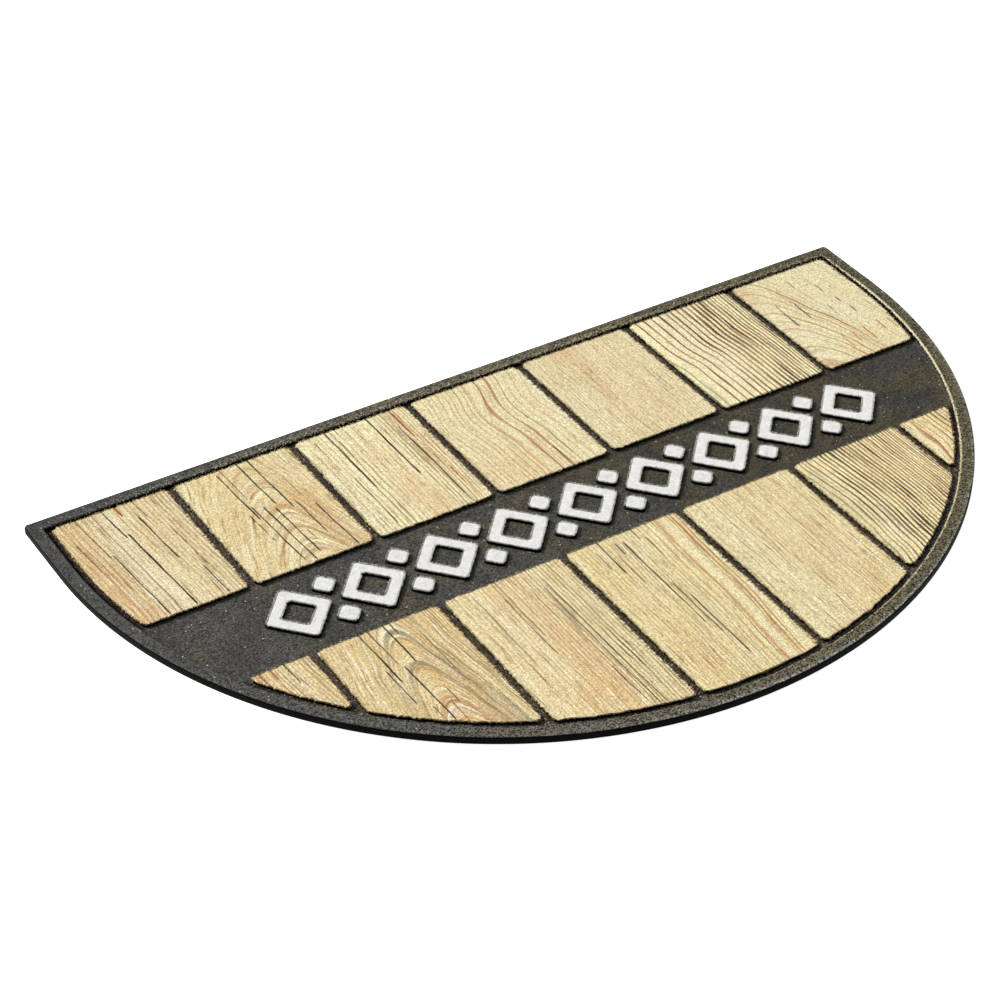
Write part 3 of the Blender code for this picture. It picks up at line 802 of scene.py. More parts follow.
FRONT_BOARDS = (
    board(
        paint(241, 220, 166),
        patches=((55, 4, 8, 10, ORANGE, 0.7), (80, 22, 6, 30, PALE, 0.7), (92, 40, 5, 40, HONEY, 0.3)),
        bend=((0, 0), (60, 5)),
        lines=rings(48, 100, 3.6, 3.0, 0.42, (TAN, BROWN), (0.4, 0.8), 11),
        cracks=((59, 0, 14, 0.36, UMBER), (66.5, 0, 12, 0.5, RUSSET), (77, 0, 24, 0.36, UMBER)),
        lean=4.0,
    ),
    board(
        paint(230, 208, 154),
        patches=(
            (52, 104, 8, 18, ORANGE, 0.6), (45, 62, 5, 24, PALE, 0.5), (12, 60, 14, 60, STRAW, 0.5),
            (60, 60, 6, 20, HONEY, 0.5), (84, 40, 12, 60, HONEY, 0.35), (83, 130, 3, 40, PALE, 0.5),
            (30, 110, 10, 30, STRAW, 0.4),
        ),
        arch=(54, 0.10, 0.15),
        streaks=1.05,
        lines=peaks((
            (8, 1.1, SLATE, 0.8), (17, 0.7, CINNAMON, 0.6), (28, 0.4, TAN, 0.5), (36, 0.4, BROWN, 0.4),
            (46, 1.1, SLATE, 0.75), (54, 0.8, CINNAMON, 0.6), (66, 0.4, BROWN, 0.5), (75, 0.5, CINNAMON, 0.5),
            (88, 0.9, ROSE, 0.7), (101, 0.9, paint(176, 116, 84), 0.7), (112, 0.5, ROSE, 0.5), (130, 0.5, TAN, 0.6),
            (150, 0.5, ROSE, 0.5), (-6, 0.4, BROWN, 0.5), (-18, 0.5, CINNAMON, 0.5), (-32, 0.5, BROWN, 0.55),
            (-52, 0.6, GREY_GREEN, 0.7),
        )) + rings(51, 74, 2.0, 1.8, 0.34, (BROWN, TAN), (0.4, 0.85), 12),
        cracks=(
            (29, 42, 84, 0.36, UMBER), (32.5, 0, 60, 0.42, UMBER), (40, 0, 42, 0.34, BROWN),
            (42.5, 44, 112, 0.46, UMBER), (37, 90, 106, 0.3, BROWN), (52.5, 0, 46, 0.46, UMBER),
            (50.5, 92, 120, 0.28, BROWN), (57.5, 0, 14, 0.36, BROWN), (55, 78, 98, 0.28, BROWN),
            (72, 20, 70, 0.24, BROWN), (83.5, 96, 140, 0.3, GREY_GREEN), (24, 2, 10, 0.3, BROWN),
        ),
        lean=3.6,
    ),
    board(
        paint(237, 219, 168),
        patches=(
            (26, 40, 7, 60, PALE, 0.7), (55, 92, 13, 60, ORANGE, 0.5), (38, 142, 22, 22, HONEY, 0.6),
            (38, 8, 8, 22, HONEY, 0.4), (87, 118, 6, 30, paint(226, 216, 162), 0.7), (62, 40, 6, 30, STRAW, 0.4),
        ),
        lines=rings(4, 36, 4.0, 3.6, 0.32, (TAN, TAN), (0.3, 0.7), 13)
        + rings(36, 62, 3.2, 2.8, 0.36, (TAN, CINNAMON), (0.4, 0.75), 14)
        + rings(62, 98, 3.2, 2.8, 0.30, (BROWN, SEPIA), (0.4, 0.7), 15),
        cracks=(
            (15.5, 70, 120, 0.26, BROWN), (19.5, 8, 90, 0.24, BROWN), (38.5, 18, 92, 0.36, BROWN),
            (41, 0, 70, 0.28, BROWN), (60.5, 24, 64, 0.24, UMBER), (63.5, 120, 165, 0.26, UMBER),
            (66.5, 40, 80, 0.24, BROWN), (69.8, 22, 172, 0.28, UMBER), (74.5, 14, 172, 0.24, UMBER),
            (80, 100, 124, 0.24, BROWN), (83.5, 84, 134, 0.26, UMBER), (86.8, 96, 126, 0.24, BROWN),
        ),
        lean=0.6,
    ),
    board(
        paint(239, 223, 168),
        patches=(
            (18, 140, 14, 30, ORANGE, 0.4), (42, 28, 8, 22, PALE, 0.5), (64, 120, 6, 40, STRAW, 0.5),
            (10, 60, 10, 60, HONEY, 0.3), (24, 155, 8, 24, HONEY, 0.4),
        ),
        bend=((0, 0), (90, -3), (182, -12)),
        shares=(0.0, 1.0),
        lines=rings(2, 66, 3.2, 2.8, 0.38, (TAN, BROWN), (0.25, 0.6), 16)
        + [
            (70.0, 0.5, CINNAMON, 0.6), (75.5, 0.35, BROWN, 0.6), (78.0, 0.9, paint(200, 142, 90), 0.85),
            (84.5, 1.8, PALE, 0.8), (89.5, 0.35, BROWN, 0.6), (92.0, 0.8, paint(182, 120, 80), 0.9),
            (95.5, 0.4, RUSSET, 0.8), (101.0, 1.8, PALE, 0.6), (106, 1.0, RUSSET, 0.5),
        ],
        cracks=(
            (7, 120, 150, 0.28, BROWN), (20, 8, 34, 0.26, BROWN), (26.5, 0, 42, 0.36, UMBER),
            (32.5, 20, 58, 0.32, BROWN), (38, 6, 24, 0.46, UMBER), (44.5, 8, 118, 0.36, UMBER),
            (49, 66, 132, 0.34, BROWN), (52.5, 84, 160, 0.32, UMBER), (57.5, 0, 14, 0.36, BROWN),
            (61.5, 12, 40, 0.38, UMBER),
        ),
        lean=-1.0,
    ),
    board(
        paint(233, 219, 168),
        patches=(
            (44, 95, 4, 80, HONEY, 0.3), (72, 110, 13, 70, HONEY, 0.42), (16, 60, 12, 70, PALE, 0.5),
            (22, 150, 14, 20, PALE, 0.4), (64, 16, 10, 20, HONEY, 0.3),
        ),
        lines=rings(2, 98, 2.6, 2.4, 0.32, (TAN, TAN), (0.12, 0.5), 17),
        cracks=((14, 104, 114, 0.6, TAN), (76, 66, 72, 0.5, BROWN)),
        streaks=1.15,
    ),
    board(
        paint(252, 233, 177),
        patches=(
            (86, 88, 14, 34, ORANGE, 0.35), (3, 60, 4, 60, GREY_GREEN, 0.3), (10, 30, 5, 30, BLUE_GREY, 0.2),
            (20, 90, 10, 60, PALE, 0.5), (55, 30, 20, 40, HONEY, 0.3),
        ),
        bend=((0, 0), (66, 7), (120, 3), (165, -5)),
        shares=(1.0, 0.2),
        lines=[
            (0.0, 0.5, GREY_GREEN, 0.85), (4.5, 0.5, paint(88, 86, 66), 0.95), (8.0, 0.35, GREY_GREEN, 0.8),
            (11.5, 0.5, SEPIA, 0.95),
        ] + rings(13, 99, 4.2, 2.1, 0.54, (paint(28, 20, 14), paint(70, 36, 22)), (0.95, 1.0), 18),
        streaks=0.5,
    ),
    board(
        paint(246, 225, 166),
        patches=((34, 18, 12, 24, ORANGE, 0.35), (4, 20, 5, 30, PALE, 0.5)),
        bend=((0, 0), (30, 1.5), (60, -3)),
        lines=[
            (10.0, 0.7, paint(160, 100, 66), 0.85), (14.5, 0.4, BROWN, 0.6), (20.5, 0.4, SEPIA, 0.8),
            (25.0, 0.4, SEPIA, 0.8),
        ] + rings(26, 60, 4.0, 3.6, 0.45, (SEPIA, SEPIA), (0.6, 0.95), 19),
    ),
)


def eased(along, bend):
    """A smooth curve through the bend's pairs: between two, the share of the way is 3 s^2 - 2 s^3."""
    places, shifts = np.array(bend, dtype=float).T
    step = np.clip(np.searchsorted(places, along, side="right") - 1, 0, max(len(places) - 2, 0))
    if len(places) == 1:
        return np.full_like(along, shifts[0])
    share = np.clip((along - places[step]) / (places[step + 1] - places[step]), 0, 1)
    return shifts[step] + (shifts[step + 1] - shifts[step]) * share**2 * (3 - 2 * share)


def wander(across, along, seed, reach):
    """A slow sideways drift of the grain: three sine waves along the board whose phase shifts a little across it."""
    phases = np.random.default_rng(seed).uniform(0, 2 * math.pi, 3)
    drift = np.sin(along / 31 + across / 60 + phases[0]) + 0.6 * np.sin(along / 13 + across / 37 + phases[1])
    return reach * (drift + 0.35 * np.sin(along / 5.5 + across / 23 + phases[2]))


def ring_field(design, across, along, seed):
    """How far each point lies across the grown wood, in millimetres, and how steeply that changes there. A plain board
    takes the place across less the bend. In an arch each ring is a parabola, whose leg drops by its curve times the
    square of the distance from the peak. The value is three times the root of that level, so that it changes at
    much the same pace everywhere. The level wobbles a little, as no ring is a true curve."""
    if design["arch"] is None:
        share = np.interp(across, (0, PLANK_WIDTH / MM), design["shares"])
        return across - share * eased(along, design["bend"]) + wander(across, along, seed, 0.35), np.ones_like(across)
    peak, left, right = design["arch"]
    aside = across - peak - wander(across, along, seed, 1.1)
    curve = np.where(aside < 0, left, right)
    level = ARCH_START + curve * aside**2 - along + wander(along, across, seed + 50, 1.6)
    root = np.sqrt(np.maximum(level, 1))
    return 3 * root, 1.5 * np.hypot(2 * curve * aside, 1) / root


def marks(field, steepness, along, places, half_widths, unevenness, seed):
    """Where a family of lines falls. The count is the line's number, whole on each line and even in between; the
    spacing turns a step of the count into millimetres. Each line swells and thins along its length by the
    unevenness."""
    order = np.argsort(places)
    sorted_places = np.concatenate(([-1e3], places[order], [1e3]))
    numbers = np.arange(len(sorted_places), dtype=float)
    count = np.interp(field, sorted_places, numbers)
    spacing = np.interp(count, numbers[:-1] + 0.5, np.diff(sorted_places)) / steepness
    spacing = np.minimum(spacing, 400)
    nearest = np.clip(np.round(count).astype(int), 1, len(places)) - 1
    line = order[nearest]
    waves = np.random.default_rng(seed).uniform(0, 2 * math.pi, (2, len(places)))
    swell = 1 + unevenness * (0.6 * np.sin(along / 9 + waves[0, line]) + 0.4 * np.sin(along / 23 + waves[1, line]))
    return np.stack((count, spacing, half_widths[line] * swell), axis=-1), line


def print_attributes(design, across, along, seed):
    """Works out one plank's print for an array of points in millimetres: the soft ground colour, the ring lines and
    their colour, the cracks and their colour, and the grain's own coordinates."""
    tone = np.repeat(np.array(design["base"])[None], len(across), axis=0)
    for spot_across, spot_along, half_width, half_length, colour, strength in design["patches"]:
        away = ((across - spot_across) / half_width) ** 2 + ((along - spot_along) / half_length) ** 2
        share = (strength * np.exp(-away))[:, None]
        tone = tone * (1 - share) + np.array(colour) * share
    tone[:, 3] = design["streaks"]

    field, steepness = ring_field(design, across, along, seed)
    places, widths, colours, strengths = (np.array(column, dtype=float) for column in zip(*design["lines"]))
    ring, line = marks(field, steepness, along, places, widths * INK_SPREAD, 0.35, seed + 100)
    fades = np.random.default_rng(seed + 200).uniform(0, 2 * math.pi, len(places))
    fade = 0.86 + 0.14 * np.sin(along / 17 + fades[line])
    if design["arch"] is not None:
        fade = fade * np.interp(across - design["arch"][0], (-26, 2), (0.45, 1.0))
    ring_tone = np.column_stack((colours[line, :3], strengths[line] * fade))

    cracks = design["cracks"] or ((-500.0, 0.0, 1.0, 0.1, UMBER),)
    places, starts, ends, widths, colours = (np.array(column, dtype=float) for column in zip(*cracks))
    aside = across - design["lean"] * along / 100 + wander(across, along, seed + 300, 0.28)
    crack, line = marks(aside, 1.0, along, places, widths * INK_SPREAD, 0.3, seed + 400)
    within = np.clip(np.minimum(along - starts[line], ends[line] - along) / 3, 0, 1)
    crack[:, 2] *= np.where((starts[line] <= 0) & (along < 6), 1.0, within)
    return {
        "tone": ("FLOAT_COLOR", tone),
        "ring": ("FLOAT_VECTOR", ring),
        "ring_tone": ("FLOAT_COLOR", ring_tone),
        "crack": ("FLOAT_VECTOR", crack),
        "crack_tone": ("FLOAT_COLOR", colours[line]),
        "grain": ("FLOAT_VECTOR", np.stack((field, along, np.full_like(field, seed * 50.0)), axis=-1)),
    }


def line_share(tree, name, fuzz, blur):
    """How much a line of the named family covers a point: its count's distance from a whole number, times the
    spacing, plus the flock's fuzz, against the line's half width. A wide line has softer edges, and on its near side
    it sets in slowly, as early wood turns to late wood. All in millimetres."""
    parts = add_node(tree, "ShaderNodeSeparateXYZ", {0: own_value(tree, name)["Vector"]}).outputs
    signed = calculate(tree, "SUBTRACT", calculate(tree, "FRACT", calculate(tree, "ADD", parts[0], 0.5)), 0.5)
    signed = product(tree, signed, parts[1])
    slow_side = product(tree, signed, remap(tree, parts[2], 0.8, 1.8, -1.0, -0.4))
    away = calculate(tree, "ADD", calculate(tree, "MAXIMUM", signed, slow_side), fuzz)
    edge = calculate(tree, "SUBTRACT", away, parts[2])
    soft = calculate(tree, "MULTIPLY_ADD", parts[2], 0.35, blur)
    covered = remap(tree, edge, product(tree, soft, -1.0), soft, 1.0, 0.0)
    return product(tree, covered, calculate(tree, "GREATER_THAN", parts[2], 0.02))


def pile_shader(tree, place, colour, sheen, contrast, shares=(1.0, 1.0, 1.0)):
    """Dense flock: the colour flickers from tuft to tuft by the contrast, of which red, green and blue take their
    shares, a fine bump stands the tips up, and a soft sheen lies over it. The piece's own lit attribute darkens the
    foot of the pile."""
    from_tuft, chance = cell_pattern(tree, place, 1200.0)
    low = tuple(1 - contrast * share for share in shares) + (1.0,)
    high = tuple(1 + contrast * share for share in shares) + (1.0,)
    tint = blend_colours(tree, chance[0], low, high)
    tinted = add_node(tree, "ShaderNodeVectorMath", {0: colour, 1: tint}, operation="MULTIPLY").outputs[0]
    lit = {0: tinted, "Scale": own_value(tree, "lit")["Fac"]}
    relief = calculate(tree, "ADD", grain_noise(tree, place, 1050.0, 3.0, 0.65), from_tuft)
    bump = add_node(tree, "ShaderNodeBump", {"Height": relief, "Strength": 0.9, "Distance": 0.00045})
    shader = add_node(tree, "ShaderNodeBsdfPrincipled", {
        "Base Color": add_node(tree, "ShaderNodeVectorMath", lit, operation="SCALE").outputs[0],
        "Roughness": 0.9,
        "Specular IOR Level": 0.15,
        "Sheen Weight": sheen,
        "Sheen Roughness": 0.5,
        "Normal": bump.outputs[0],
    })
    put_out(tree, shader)


def print_finish():
    """Flock printed as wood: the soft ground colour, pale streaks, fine pores and deeper ones that follow the grain,
    the year rings' dark edges and the cracks over them, each with an edge as fuzzy as the pile it is printed on."""
    finish, tree, place = new_finish("wood_printed_pile")
    ground = own_value(tree, "tone")
    along_grain = {0: own_value(tree, "grain")["Vector"], 1: (1.0, 0.032, 1.0)}
    grain = add_node(tree, "ShaderNodeVectorMath", along_grain, operation="MULTIPLY").outputs[0]
    streak = grain_noise(tree, grain, 0.95, 3.0, 0.7)
    pores = product(tree, remap(tree, streak, 0.50, 0.66, 0.0, 0.80), ground["Alpha"])
    deep = product(tree, remap(tree, streak, 0.60, 0.72, 0.0, 0.90), ground["Alpha"])
    bright = remap(tree, grain_noise(tree, grain, 0.72, 3.0, 0.6), 0.48, 0.64, 0.0, 0.85)
    colour = blend_colours(tree, product(tree, bright, ground["Alpha"]), ground["Color"], paint(246, 238, 204))
    colour = blend_colours(tree, pores, colour, paint(192, 158, 108))
    colour = blend_colours(tree, deep, colour, paint(118, 88, 56))
    fuzz = product(tree, calculate(tree, "SUBTRACT", grain_noise(tree, place, 900.0), 0.5), 1.15)
    for name, blur in (("ring", 0.10), ("crack", 0.08)):
        ink = own_value(tree, name + "_tone")
        share = product(tree, line_share(tree, name, fuzz, blur), ink["Alpha"])
        colour = blend_colours(tree, share, colour, ink["Color"])
    pile_shader(tree, place, colour, 0.10, 0.31, (1.0, 1.10, 1.40))
    return finish


# Each row of a plateau's side: how far outside the pile's outline, height and dust. A flat fillet leads up to it
# from the ground with little or no dust, so that it stays black: painted shade round the foot of the pile.
PLATEAU_PROFILE = np.array((
    (0.00130, 0.00398, 0.50), (0.00105, 0.00401, 0.35), (0.00070, 0.00403, 0.05), (0.00045, 0.00406, 0.0),
    (0.00030, 0.00420, 0.0), (0.00022, 0.00440, 0.0), (0.00008, 0.00490, 0.0), (-0.0001, 0.00510, 0.0),
    (-0.0004, PLATEAU_TOP, 0.0),
))


def plateau(loop):
    """The low rubber plateau under a pile: its loop climbs from just inside the ground, drawing in a little, to a
    rounded edge and a flat top."""
    return raised(loop + outward(loop) * (PLATEAU_PROFILE[:, :1, None] - SPLAY), PLATEAU_PROFILE[:, 1])


wood_print = print_finish()
plateaus = []
plateau_dust_and_shade = []
ROWS = (
    ("back", STRAIGHT_EDGE_Y - FIELD_INSET, STRAIGHT_EDGE_Y - BAND_BACK, BACK_BOARDS),
    ("front", STRAIGHT_EDGE_Y - BAND_FRONT, cad_low.y, FRONT_BOARDS),
)
for row_number, (row, back_edge, front_edge, boards) in enumerate(ROWS):
    for number, design in enumerate(boards):
        middle = (number - (PLANK_COUNT - 1) / 2) * PLANK_PITCH
        left_edge = middle - PLANK_WIDTH / 2
        tip = row == "front" and number in (0, PLANK_COUNT - 1)
        corner = TIP_CORNER if tip else PLANK_CORNER
        seed = 10 * row_number + number + 1
        grid = plank_grid(left_edge, left_edge + PLANK_WIDTH, back_edge, front_edge, corner, EDGE_ROLL - SPLAY)
        points, faces, outline, light = pile_pad(np.random.default_rng(seed), grid)
        pad = new_piece(f"pile_plank_{row}_{number + 1}", points, faces, wood_print, "plank_pile")
        across = (points[:, 0] - left_edge) / MM
        along = (back_edge - points[:, 1]) / MM
        for name, (kind, values) in print_attributes(design, across, along, seed).items():
            store(pad, name, kind, values)
        store(pad, "lit", "FLOAT", light)
        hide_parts(f"plank_{row}_{number + 1}")
        loops = plateau(outline[::3])
        plateaus.append(skin(loops))
        plateau_dust_and_shade.append(np.append(np.repeat(PLATEAU_PROFILE[:, 2], loops.shape[1]), (0.0, 0.0)))


# The lozenges: white flock on plateaus of their own, nine open rings in a row along the bare band, and a small
# solid one above and below each gap between two rings.
RING_COUNT = 9
RING_PITCH = 0.062
RING_HALF_WIDTH = 0.027
RING_HALF_HEIGHT = 0.030
RING_STROKE = 0.009
SMALL_HALF_WIDTH = 0.0099
SMALL_HALF_HEIGHT = 0.0110
SMALL_OFFSET = 0.019
LOZENGE_CORNER = 0.0030
LOZENGE_ROLL = 0.0012
LOZENGE_STEP = 0.0007
LOZENGE_HAIRS_PER_METRE = 5200
# Points along each side of a ring, of a small lozenge and of a plateau.
RING_EDGE_POINTS, SMALL_EDGE_POINTS, PLATEAU_EDGE_POINTS = 44, 16, 4


def lozenge_loop(half_width, half_height, inset, edge_points):
    """A lozenge with rounded corners, moved inward, anticlockwise from its right-hand corner. Each corner is an arc
    about a point of a smaller lozenge, and each side is a straight run between two arcs."""
    slant = math.hypot(half_width, half_height)
    drawn_in = (inset + LOZENGE_CORNER) * slant
    core = np.array((half_width - drawn_in / half_height, half_height - drawn_in / half_width))
    corners = core * ((1, 0), (0, 1), (-1, 0), (0, -1))
    tilt = math.atan2(half_width, half_height)
    starts = np.array((-tilt, tilt, math.pi - tilt, math.pi + tilt))
    spans = np.array((2 * tilt, math.pi - 2 * tilt, 2 * tilt, math.pi - 2 * tilt))
    turn = starts[:, None] + spans[:, None] * np.linspace(0, 1, 6)
    arcs = corners[:, None] + LOZENGE_CORNER * np.stack((np.cos(turn), np.sin(turn)), axis=-1)
    share = np.linspace(0, 1, edge_points + 2)[1:-1, None]
    sides = arcs[:, -1:] * (1 - share) + np.roll(arcs, -1, axis=0)[:, :1] * share
    return np.concatenate((arcs, sides), axis=1).reshape(-1, 2)


def hoop(loops):
    """Joins a stack of loops into one closed ring: quads between neighbouring loops, and between the last and first."""
    rows, count, _ = loops.shape
    index = np.arange(rows * count).reshape(rows, count)
    up = np.roll(index, -1, axis=0)
    quads = np.stack((index, np.roll(index, -1, axis=1), np.roll(up, -1, axis=1), up), axis=-1)
    return loops.reshape(-1, 3), quads.reshape(-1, 4).tolist()


def white_finish():
    """White flock with a little grey between the tufts."""
    finish, tree, place = new_finish("white_pile")
    cloud = remap(tree, grain_noise(tree, place, 160.0, 4.0, 0.6), 0.32, 0.68)
    colour = blend_colours(tree, cloud, paint(230, 230, 228), paint(244, 243, 239))
    pile_shader(tree, place, colour, 0.12, 0.10)
    return finish


def lozenge_pile(rng, half_width, half_height, stroke, edge_points):
    """The pile of one lozenge about the origin. A ring carries a flat-topped profile round its outline, down to the
    foot inside and out. A solid one draws its loops in to the middle."""
    down = np.array(((0.0002, PILE_FOOT), (0.0, 0.0059), (0.00012, 0.0062), (0.0004, 0.00645), (0.0008, 0.0066)))
    flat = stroke - 2 * LOZENGE_ROLL if stroke else min(half_width, half_height) * 0.25
    insets = LOZENGE_ROLL + np.linspace(0, flat, round(flat / LOZENGE_STEP) + 1)
    heights = np.concatenate((down[:, 1], np.full(insets.size, PILE_TOP)))
    insets = np.concatenate((down[:, 0], insets))
    if stroke:
        insets = np.concatenate((insets, stroke - down[::-1, 0]))
        heights = np.concatenate((heights, down[::-1, 1]))
    flat_loops = np.stack([lozenge_loop(half_width, half_height, inset, edge_points) for inset in insets])
    near_edge = np.where(heights == PILE_TOP, 0.00004, 0.00024)
    flat_loops += rng.normal(0, 1, flat_loops.shape) * near_edge[:, None, None]
    if not stroke:
        flat_loops = np.concatenate((flat_loops, flat_loops[-1] * np.array((0.66, 0.33))[:, None, None]))
        heights = np.append(heights, (PILE_TOP, PILE_TOP))
    loops = raised(flat_loops, heights)
    loops[heights == PILE_TOP, :, 2] -= PILE_UNEVEN * rng.random((np.sum(heights == PILE_TOP), loops.shape[1]))
    return hoop(loops) if stroke else skin(loops)


def lozenge_hairs(rng, edge):
    """The loose hairs along one edge of a lozenge. An edge that runs clockwise, round a hole, sends them inward."""
    length = np.linalg.norm(np.roll(edge, -1, axis=0) - edge, axis=-1).sum()
    points, faces = edge_hairs(rng, edge, HAIR_FOOT, PILE_TOP, round(length * LOZENGE_HAIRS_PER_METRE))
    return points, faces.tolist()


def light_by_height(height):
    """The share of light that reaches into the pile: little at the foot, all of it near the tips."""
    return np.interp(height, (PILE_FOOT, 0.0059, 0.0066), (0.03, 0.12, 1.0))


def joined(parts):
    """Several closed surfaces as one: their points in a row, and their faces counted on from the ones before."""
    starts = np.cumsum([0] + [len(points) for points, _ in parts])
    faces = [[index + start for index in face] for (_, some), start in zip(parts, starts) for face in some]
    return np.concatenate([points for points, _ in parts]), faces


def lozenge_plateau(half_width, half_height, stroke):
    """The rubber plateau under a lozenge: the same outline, rising from the ground to a rounded edge and a flat top."""
    insets, heights = -PLATEAU_PROFILE[:, 0], PLATEAU_PROFILE[:, 1]
    if stroke:
        insets = np.concatenate((insets, stroke - insets[::-1]))
        heights = np.concatenate((heights, heights[::-1]))
    loops = np.stack([lozenge_loop(half_width, half_height, inset, PLATEAU_EDGE_POINTS) for inset in insets])
    return hoop(raised(loops, heights)) if stroke else skin(raised(loops, heights))


white_pile = white_finish()
ring_places = (np.arange(RING_COUNT) - (RING_COUNT - 1) / 2) * RING_PITCH
gap_places = (ring_places[:-1] + ring_places[1:]) / 2
RING_SHAPE = (RING_HALF_WIDTH, RING_HALF_HEIGHT, RING_STROKE)
SMALL_SHAPE = (SMALL_HALF_WIDTH, SMALL_HALF_HEIGHT, 0.0)
LOZENGES = (
    ("lozenge_ring", ring_places, 0.0, RING_SHAPE, RING_EDGE_POINTS),
    ("small_lozenge_back", gap_places, SMALL_OFFSET, SMALL_SHAPE, SMALL_EDGE_POINTS),
    ("small_lozenge_front", gap_places, -SMALL_OFFSET, SMALL_SHAPE, SMALL_EDGE_POINTS),
)
tufts = []
for group_number, (group, places, offset, shape, edge_points) in enumerate(LOZENGES):
    for number, place in enumerate(places):
        rng = np.random.default_rng(1000 + 20 * group_number + number)
        points, faces = lozenge_pile(rng, *shape, edge_points)
        outline = lozenge_loop(*shape[:2], 0.0, edge_points)
        hole = lozenge_loop(*shape, edge_points)[::-1]
        at = np.array((place, BAND_MIDDLE_Y + offset, 0.0))
        for edge in (outline, hole) if shape[2] else (outline,):
            hair_points, hair_faces = lozenge_hairs(rng, edge)
            tufts.append((hair_points + at, hair_faces))
        piece = new_piece(f"pile_{group}_{number + 1}", points + at, faces, white_pile, "lozenge_pile")
        shaded = (points[:, 2] < PILE_TOP - PILE_UNEVEN) & (rng.random(len(points)) < 0.4)
        store(piece, "lit", "FLOAT", light_by_height(points[:, 2]) * np.where(shaded, 0.35, 1.0))
        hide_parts(f"{group}_{number + 1}")
        plateau_points, plateau_faces = lozenge_plateau(*shape)
        plateaus.append((plateau_points + at, plateau_faces))
        side = PLATEAU_PROFILE[:, 2]
        count = lozenge_loop(*shape[:2], 0.0, PLATEAU_EDGE_POINTS).shape[0]
        if shape[2]:
            plateau_dust_and_shade.append(np.repeat(np.concatenate((side, side[::-1])), count))
        else:
            plateau_dust_and_shade.append(np.append(np.repeat(side, count), (0.0, 0.0)))

white_hairs = new_piece("white_edge_hairs", *joined(tufts), white_pile, "lozenge_pile")
heights = np.empty(len(white_hairs.data.vertices) * 3)
white_hairs.data.vertices.foreach_get("co", heights)
store(white_hairs, "lit", "FLOAT", light_by_height(heights[2::3]))


# The plateaus that carry the pile. They belong to the same rubber moulding as the tray and rise 1.2 mm from its
# ground, so that a dark foot shows under every flocked field; their sides are kept bare and black as painted shade.
plateau_piece = new_piece("rubber_plateaus", *joined(plateaus), rubber, "rubber")
store(plateau_piece, "dust_and_painted_light", "FLOAT", np.concatenate(plateau_dust_and_shade))


# Loose flock: short cut fibres that fell beside the pads when the mat was flocked, and lie in the grooves, on the
# band and on the rim.
LOOSE_COUNT = 5200
LOOSE_HEIGHT = 0.0001
LAST_RING_END = 0.285
# The share of the random places kept on the band, in the gutter, in the grooves and on the rim.
ON_BAND, IN_GUTTER, IN_GROOVE, ON_RIM = 0.3, 1.0, 0.7, 0.16


def loose_places(rng):
    """Random places on bare rubber with their heights: those on the rim lie higher, and those under a pad or a
    lozenge are left out."""
    spots = rng.uniform((-HALF_LENGTH, cad_low.y), (HALF_LENGTH, STRAIGHT_EDGE_Y), (LOOSE_COUNT * 6, 2))
    radius = np.hypot(spots[:, 0], np.minimum(spots[:, 1] - ARC_CENTRE_Y, 0))
    inset = np.minimum(HALF_LENGTH - radius, STRAIGHT_EDGE_Y - spots[:, 1])
    from_back = STRAIGHT_EDGE_Y - spots[:, 1]
    in_strip = np.abs((spots[:, 0] / PLANK_PITCH + 0.5) % 1 - 0.5) * PLANK_PITCH < PLANK_WIDTH / 2
    in_band = (from_back > BAND_BACK) & (from_back < BAND_FRONT)
    under_pad = in_strip & ~in_band & (inset > FIELD_INSET)
    beside = (spots[:, 0] / RING_PITCH + 0.5) % 1 - 0.5
    over = np.abs(spots[:, 1] - BAND_MIDDLE_Y)
    slope = RING_HALF_HEIGHT / RING_HALF_WIDTH
    under_ring = (np.abs(beside) * RING_PITCH * slope + over < RING_HALF_HEIGHT) & (np.abs(spots[:, 0]) < LAST_RING_END)
    share = np.where(in_band, ON_BAND, np.where(inset < FIELD_INSET, IN_GUTTER, IN_GROOVE))
    on_ground = (inset > RIM_WIDTH + 0.001) & ~under_pad & ~under_ring & (rng.random(len(spots)) < share)
    on_rim = (inset > 0.001) & (inset < RIM_WIDTH - 0.002) & (rng.random(len(spots)) < ON_RIM)
    height = np.where(on_rim, RIM_TOP, GROUND_TOP) + LOOSE_HEIGHT
    kept = on_ground | on_rim
    return np.column_stack((spots, height))[kept][:LOOSE_COUNT]


def loose_finish():
    """Loose fibres between white and the print's brown."""
    finish, tree, place = new_finish("loose_flock")
    share = remap(tree, grain_noise(tree, place, 260.0, 1.0), 0.35, 0.65)
    colour = blend_colours(tree, share, paint(150, 134, 98), paint(238, 232, 216))
    pile_shader(tree, place, colour, 0.1, 0.1)
    return finish


rng = np.random.default_rng(77)
roots = loose_places(rng)
turn = rng.uniform(0, 2 * math.pi, len(roots))
lying = np.column_stack((np.cos(turn), np.sin(turn), rng.uniform(0.0, 0.5, len(roots))))
loose_points, loose_faces = hairs(
    roots, lying, rng.uniform(0.0004, 0.0013, len(roots)), 0.00008 + 0.00036 * rng.random(len(roots)) ** 4
)
loose = new_piece("loose_flock", loose_points, loose_faces.tolist(), loose_finish(), "plank_pile")
store(loose, "lit", "FLOAT", np.ones(len(loose_points)))


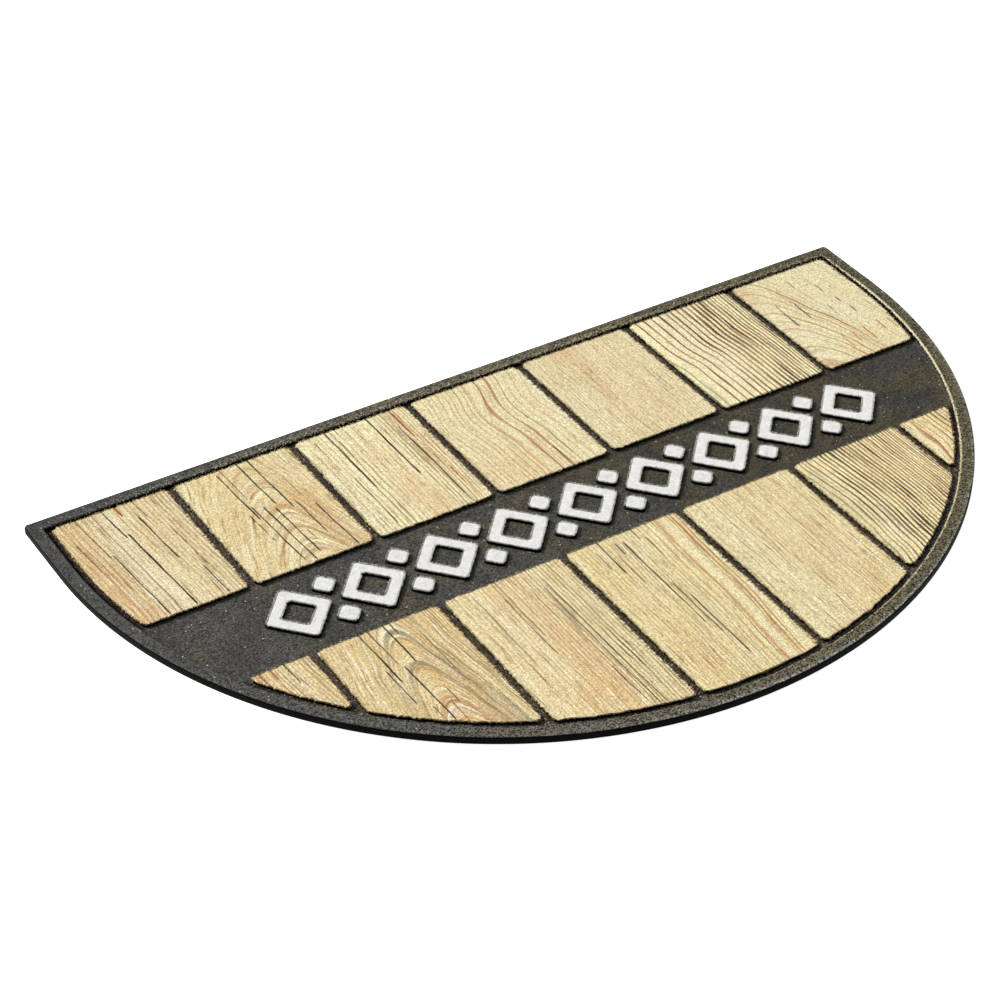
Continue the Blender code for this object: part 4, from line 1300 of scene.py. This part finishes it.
# The studio: a white floor with the faintest grain, a soft sun low behind the mat and to its left, which throws
# short shadows towards the camera, and a pale sky that fills them.
FLOOR_HALF = 9.0
SUN_FROM = np.array((-0.42, 0.66, 0.62))
SUN_STRENGTH = 3.97
SUN_ANGLE = math.radians(4)
SUN_COLOUR = (1.0, 0.985, 0.955)
SUN_DISTANCE = 3.0
SKY_STRENGTH = 0.30
SKY_COLOUR = (0.97, 0.985, 1.0, 1.0)


def floor_finish():
    """Matt white acrylic, lit a little from below: a faint cloud in its white."""
    finish, tree, place = new_finish("acrylic_floor")
    cloud = grain_noise(tree, place, 3.0, 3.0)
    colour = blend_colours(tree, cloud, paint(249, 250, 252), paint(252, 253, 255))
    shader = add_node(tree, "ShaderNodeBsdfPrincipled", {
        "Base Color": colour, "Roughness": 0.95, "Specular IOR Level": 0.1, "Emission Color": colour,
        "Emission Strength": 0.86,
    })
    put_out(tree, shader)
    return finish


lines = np.linspace(-FLOOR_HALF, FLOOR_HALF, 3)
floor_points = np.stack(np.meshgrid(lines, lines) + [np.zeros((3, 3))], axis=-1).reshape(-1, 3)
floor_mesh = bpy.data.meshes.new("floor")
floor_mesh.from_pydata(floor_points.tolist(), [], [[0, 1, 4, 3], [1, 2, 5, 4], [3, 4, 7, 6], [4, 5, 8, 7]])
floor_mesh.materials.append(floor_finish())
floor = bpy.data.objects.new("floor", floor_mesh)
bpy.context.scene.collection.objects.link(floor)

sun_data = bpy.data.lights.new("sun", "SUN")
sun_data.energy = SUN_STRENGTH
sun_data.angle = SUN_ANGLE
sun_data.color = SUN_COLOUR
sun = bpy.data.objects.new("sun", sun_data)
sun_azimuth = math.atan2(SUN_FROM[0], -SUN_FROM[1])
sun_elevation = math.asin(SUN_FROM[2] / np.linalg.norm(SUN_FROM))
sun.matrix_world = camera_frame(sun_azimuth, sun_elevation, 0.0, np.zeros(3), SUN_DISTANCE)
bpy.context.scene.collection.objects.link(sun)

sky = bpy.data.worlds.new("sky")
sky.use_nodes = True
sky.node_tree.nodes["Background"].inputs["Color"].default_value = SKY_COLOUR
sky.node_tree.nodes["Background"].inputs["Strength"].default_value = SKY_STRENGTH
bpy.context.scene.world = sky
bpy.context.scene.view_settings.view_transform = "Standard"
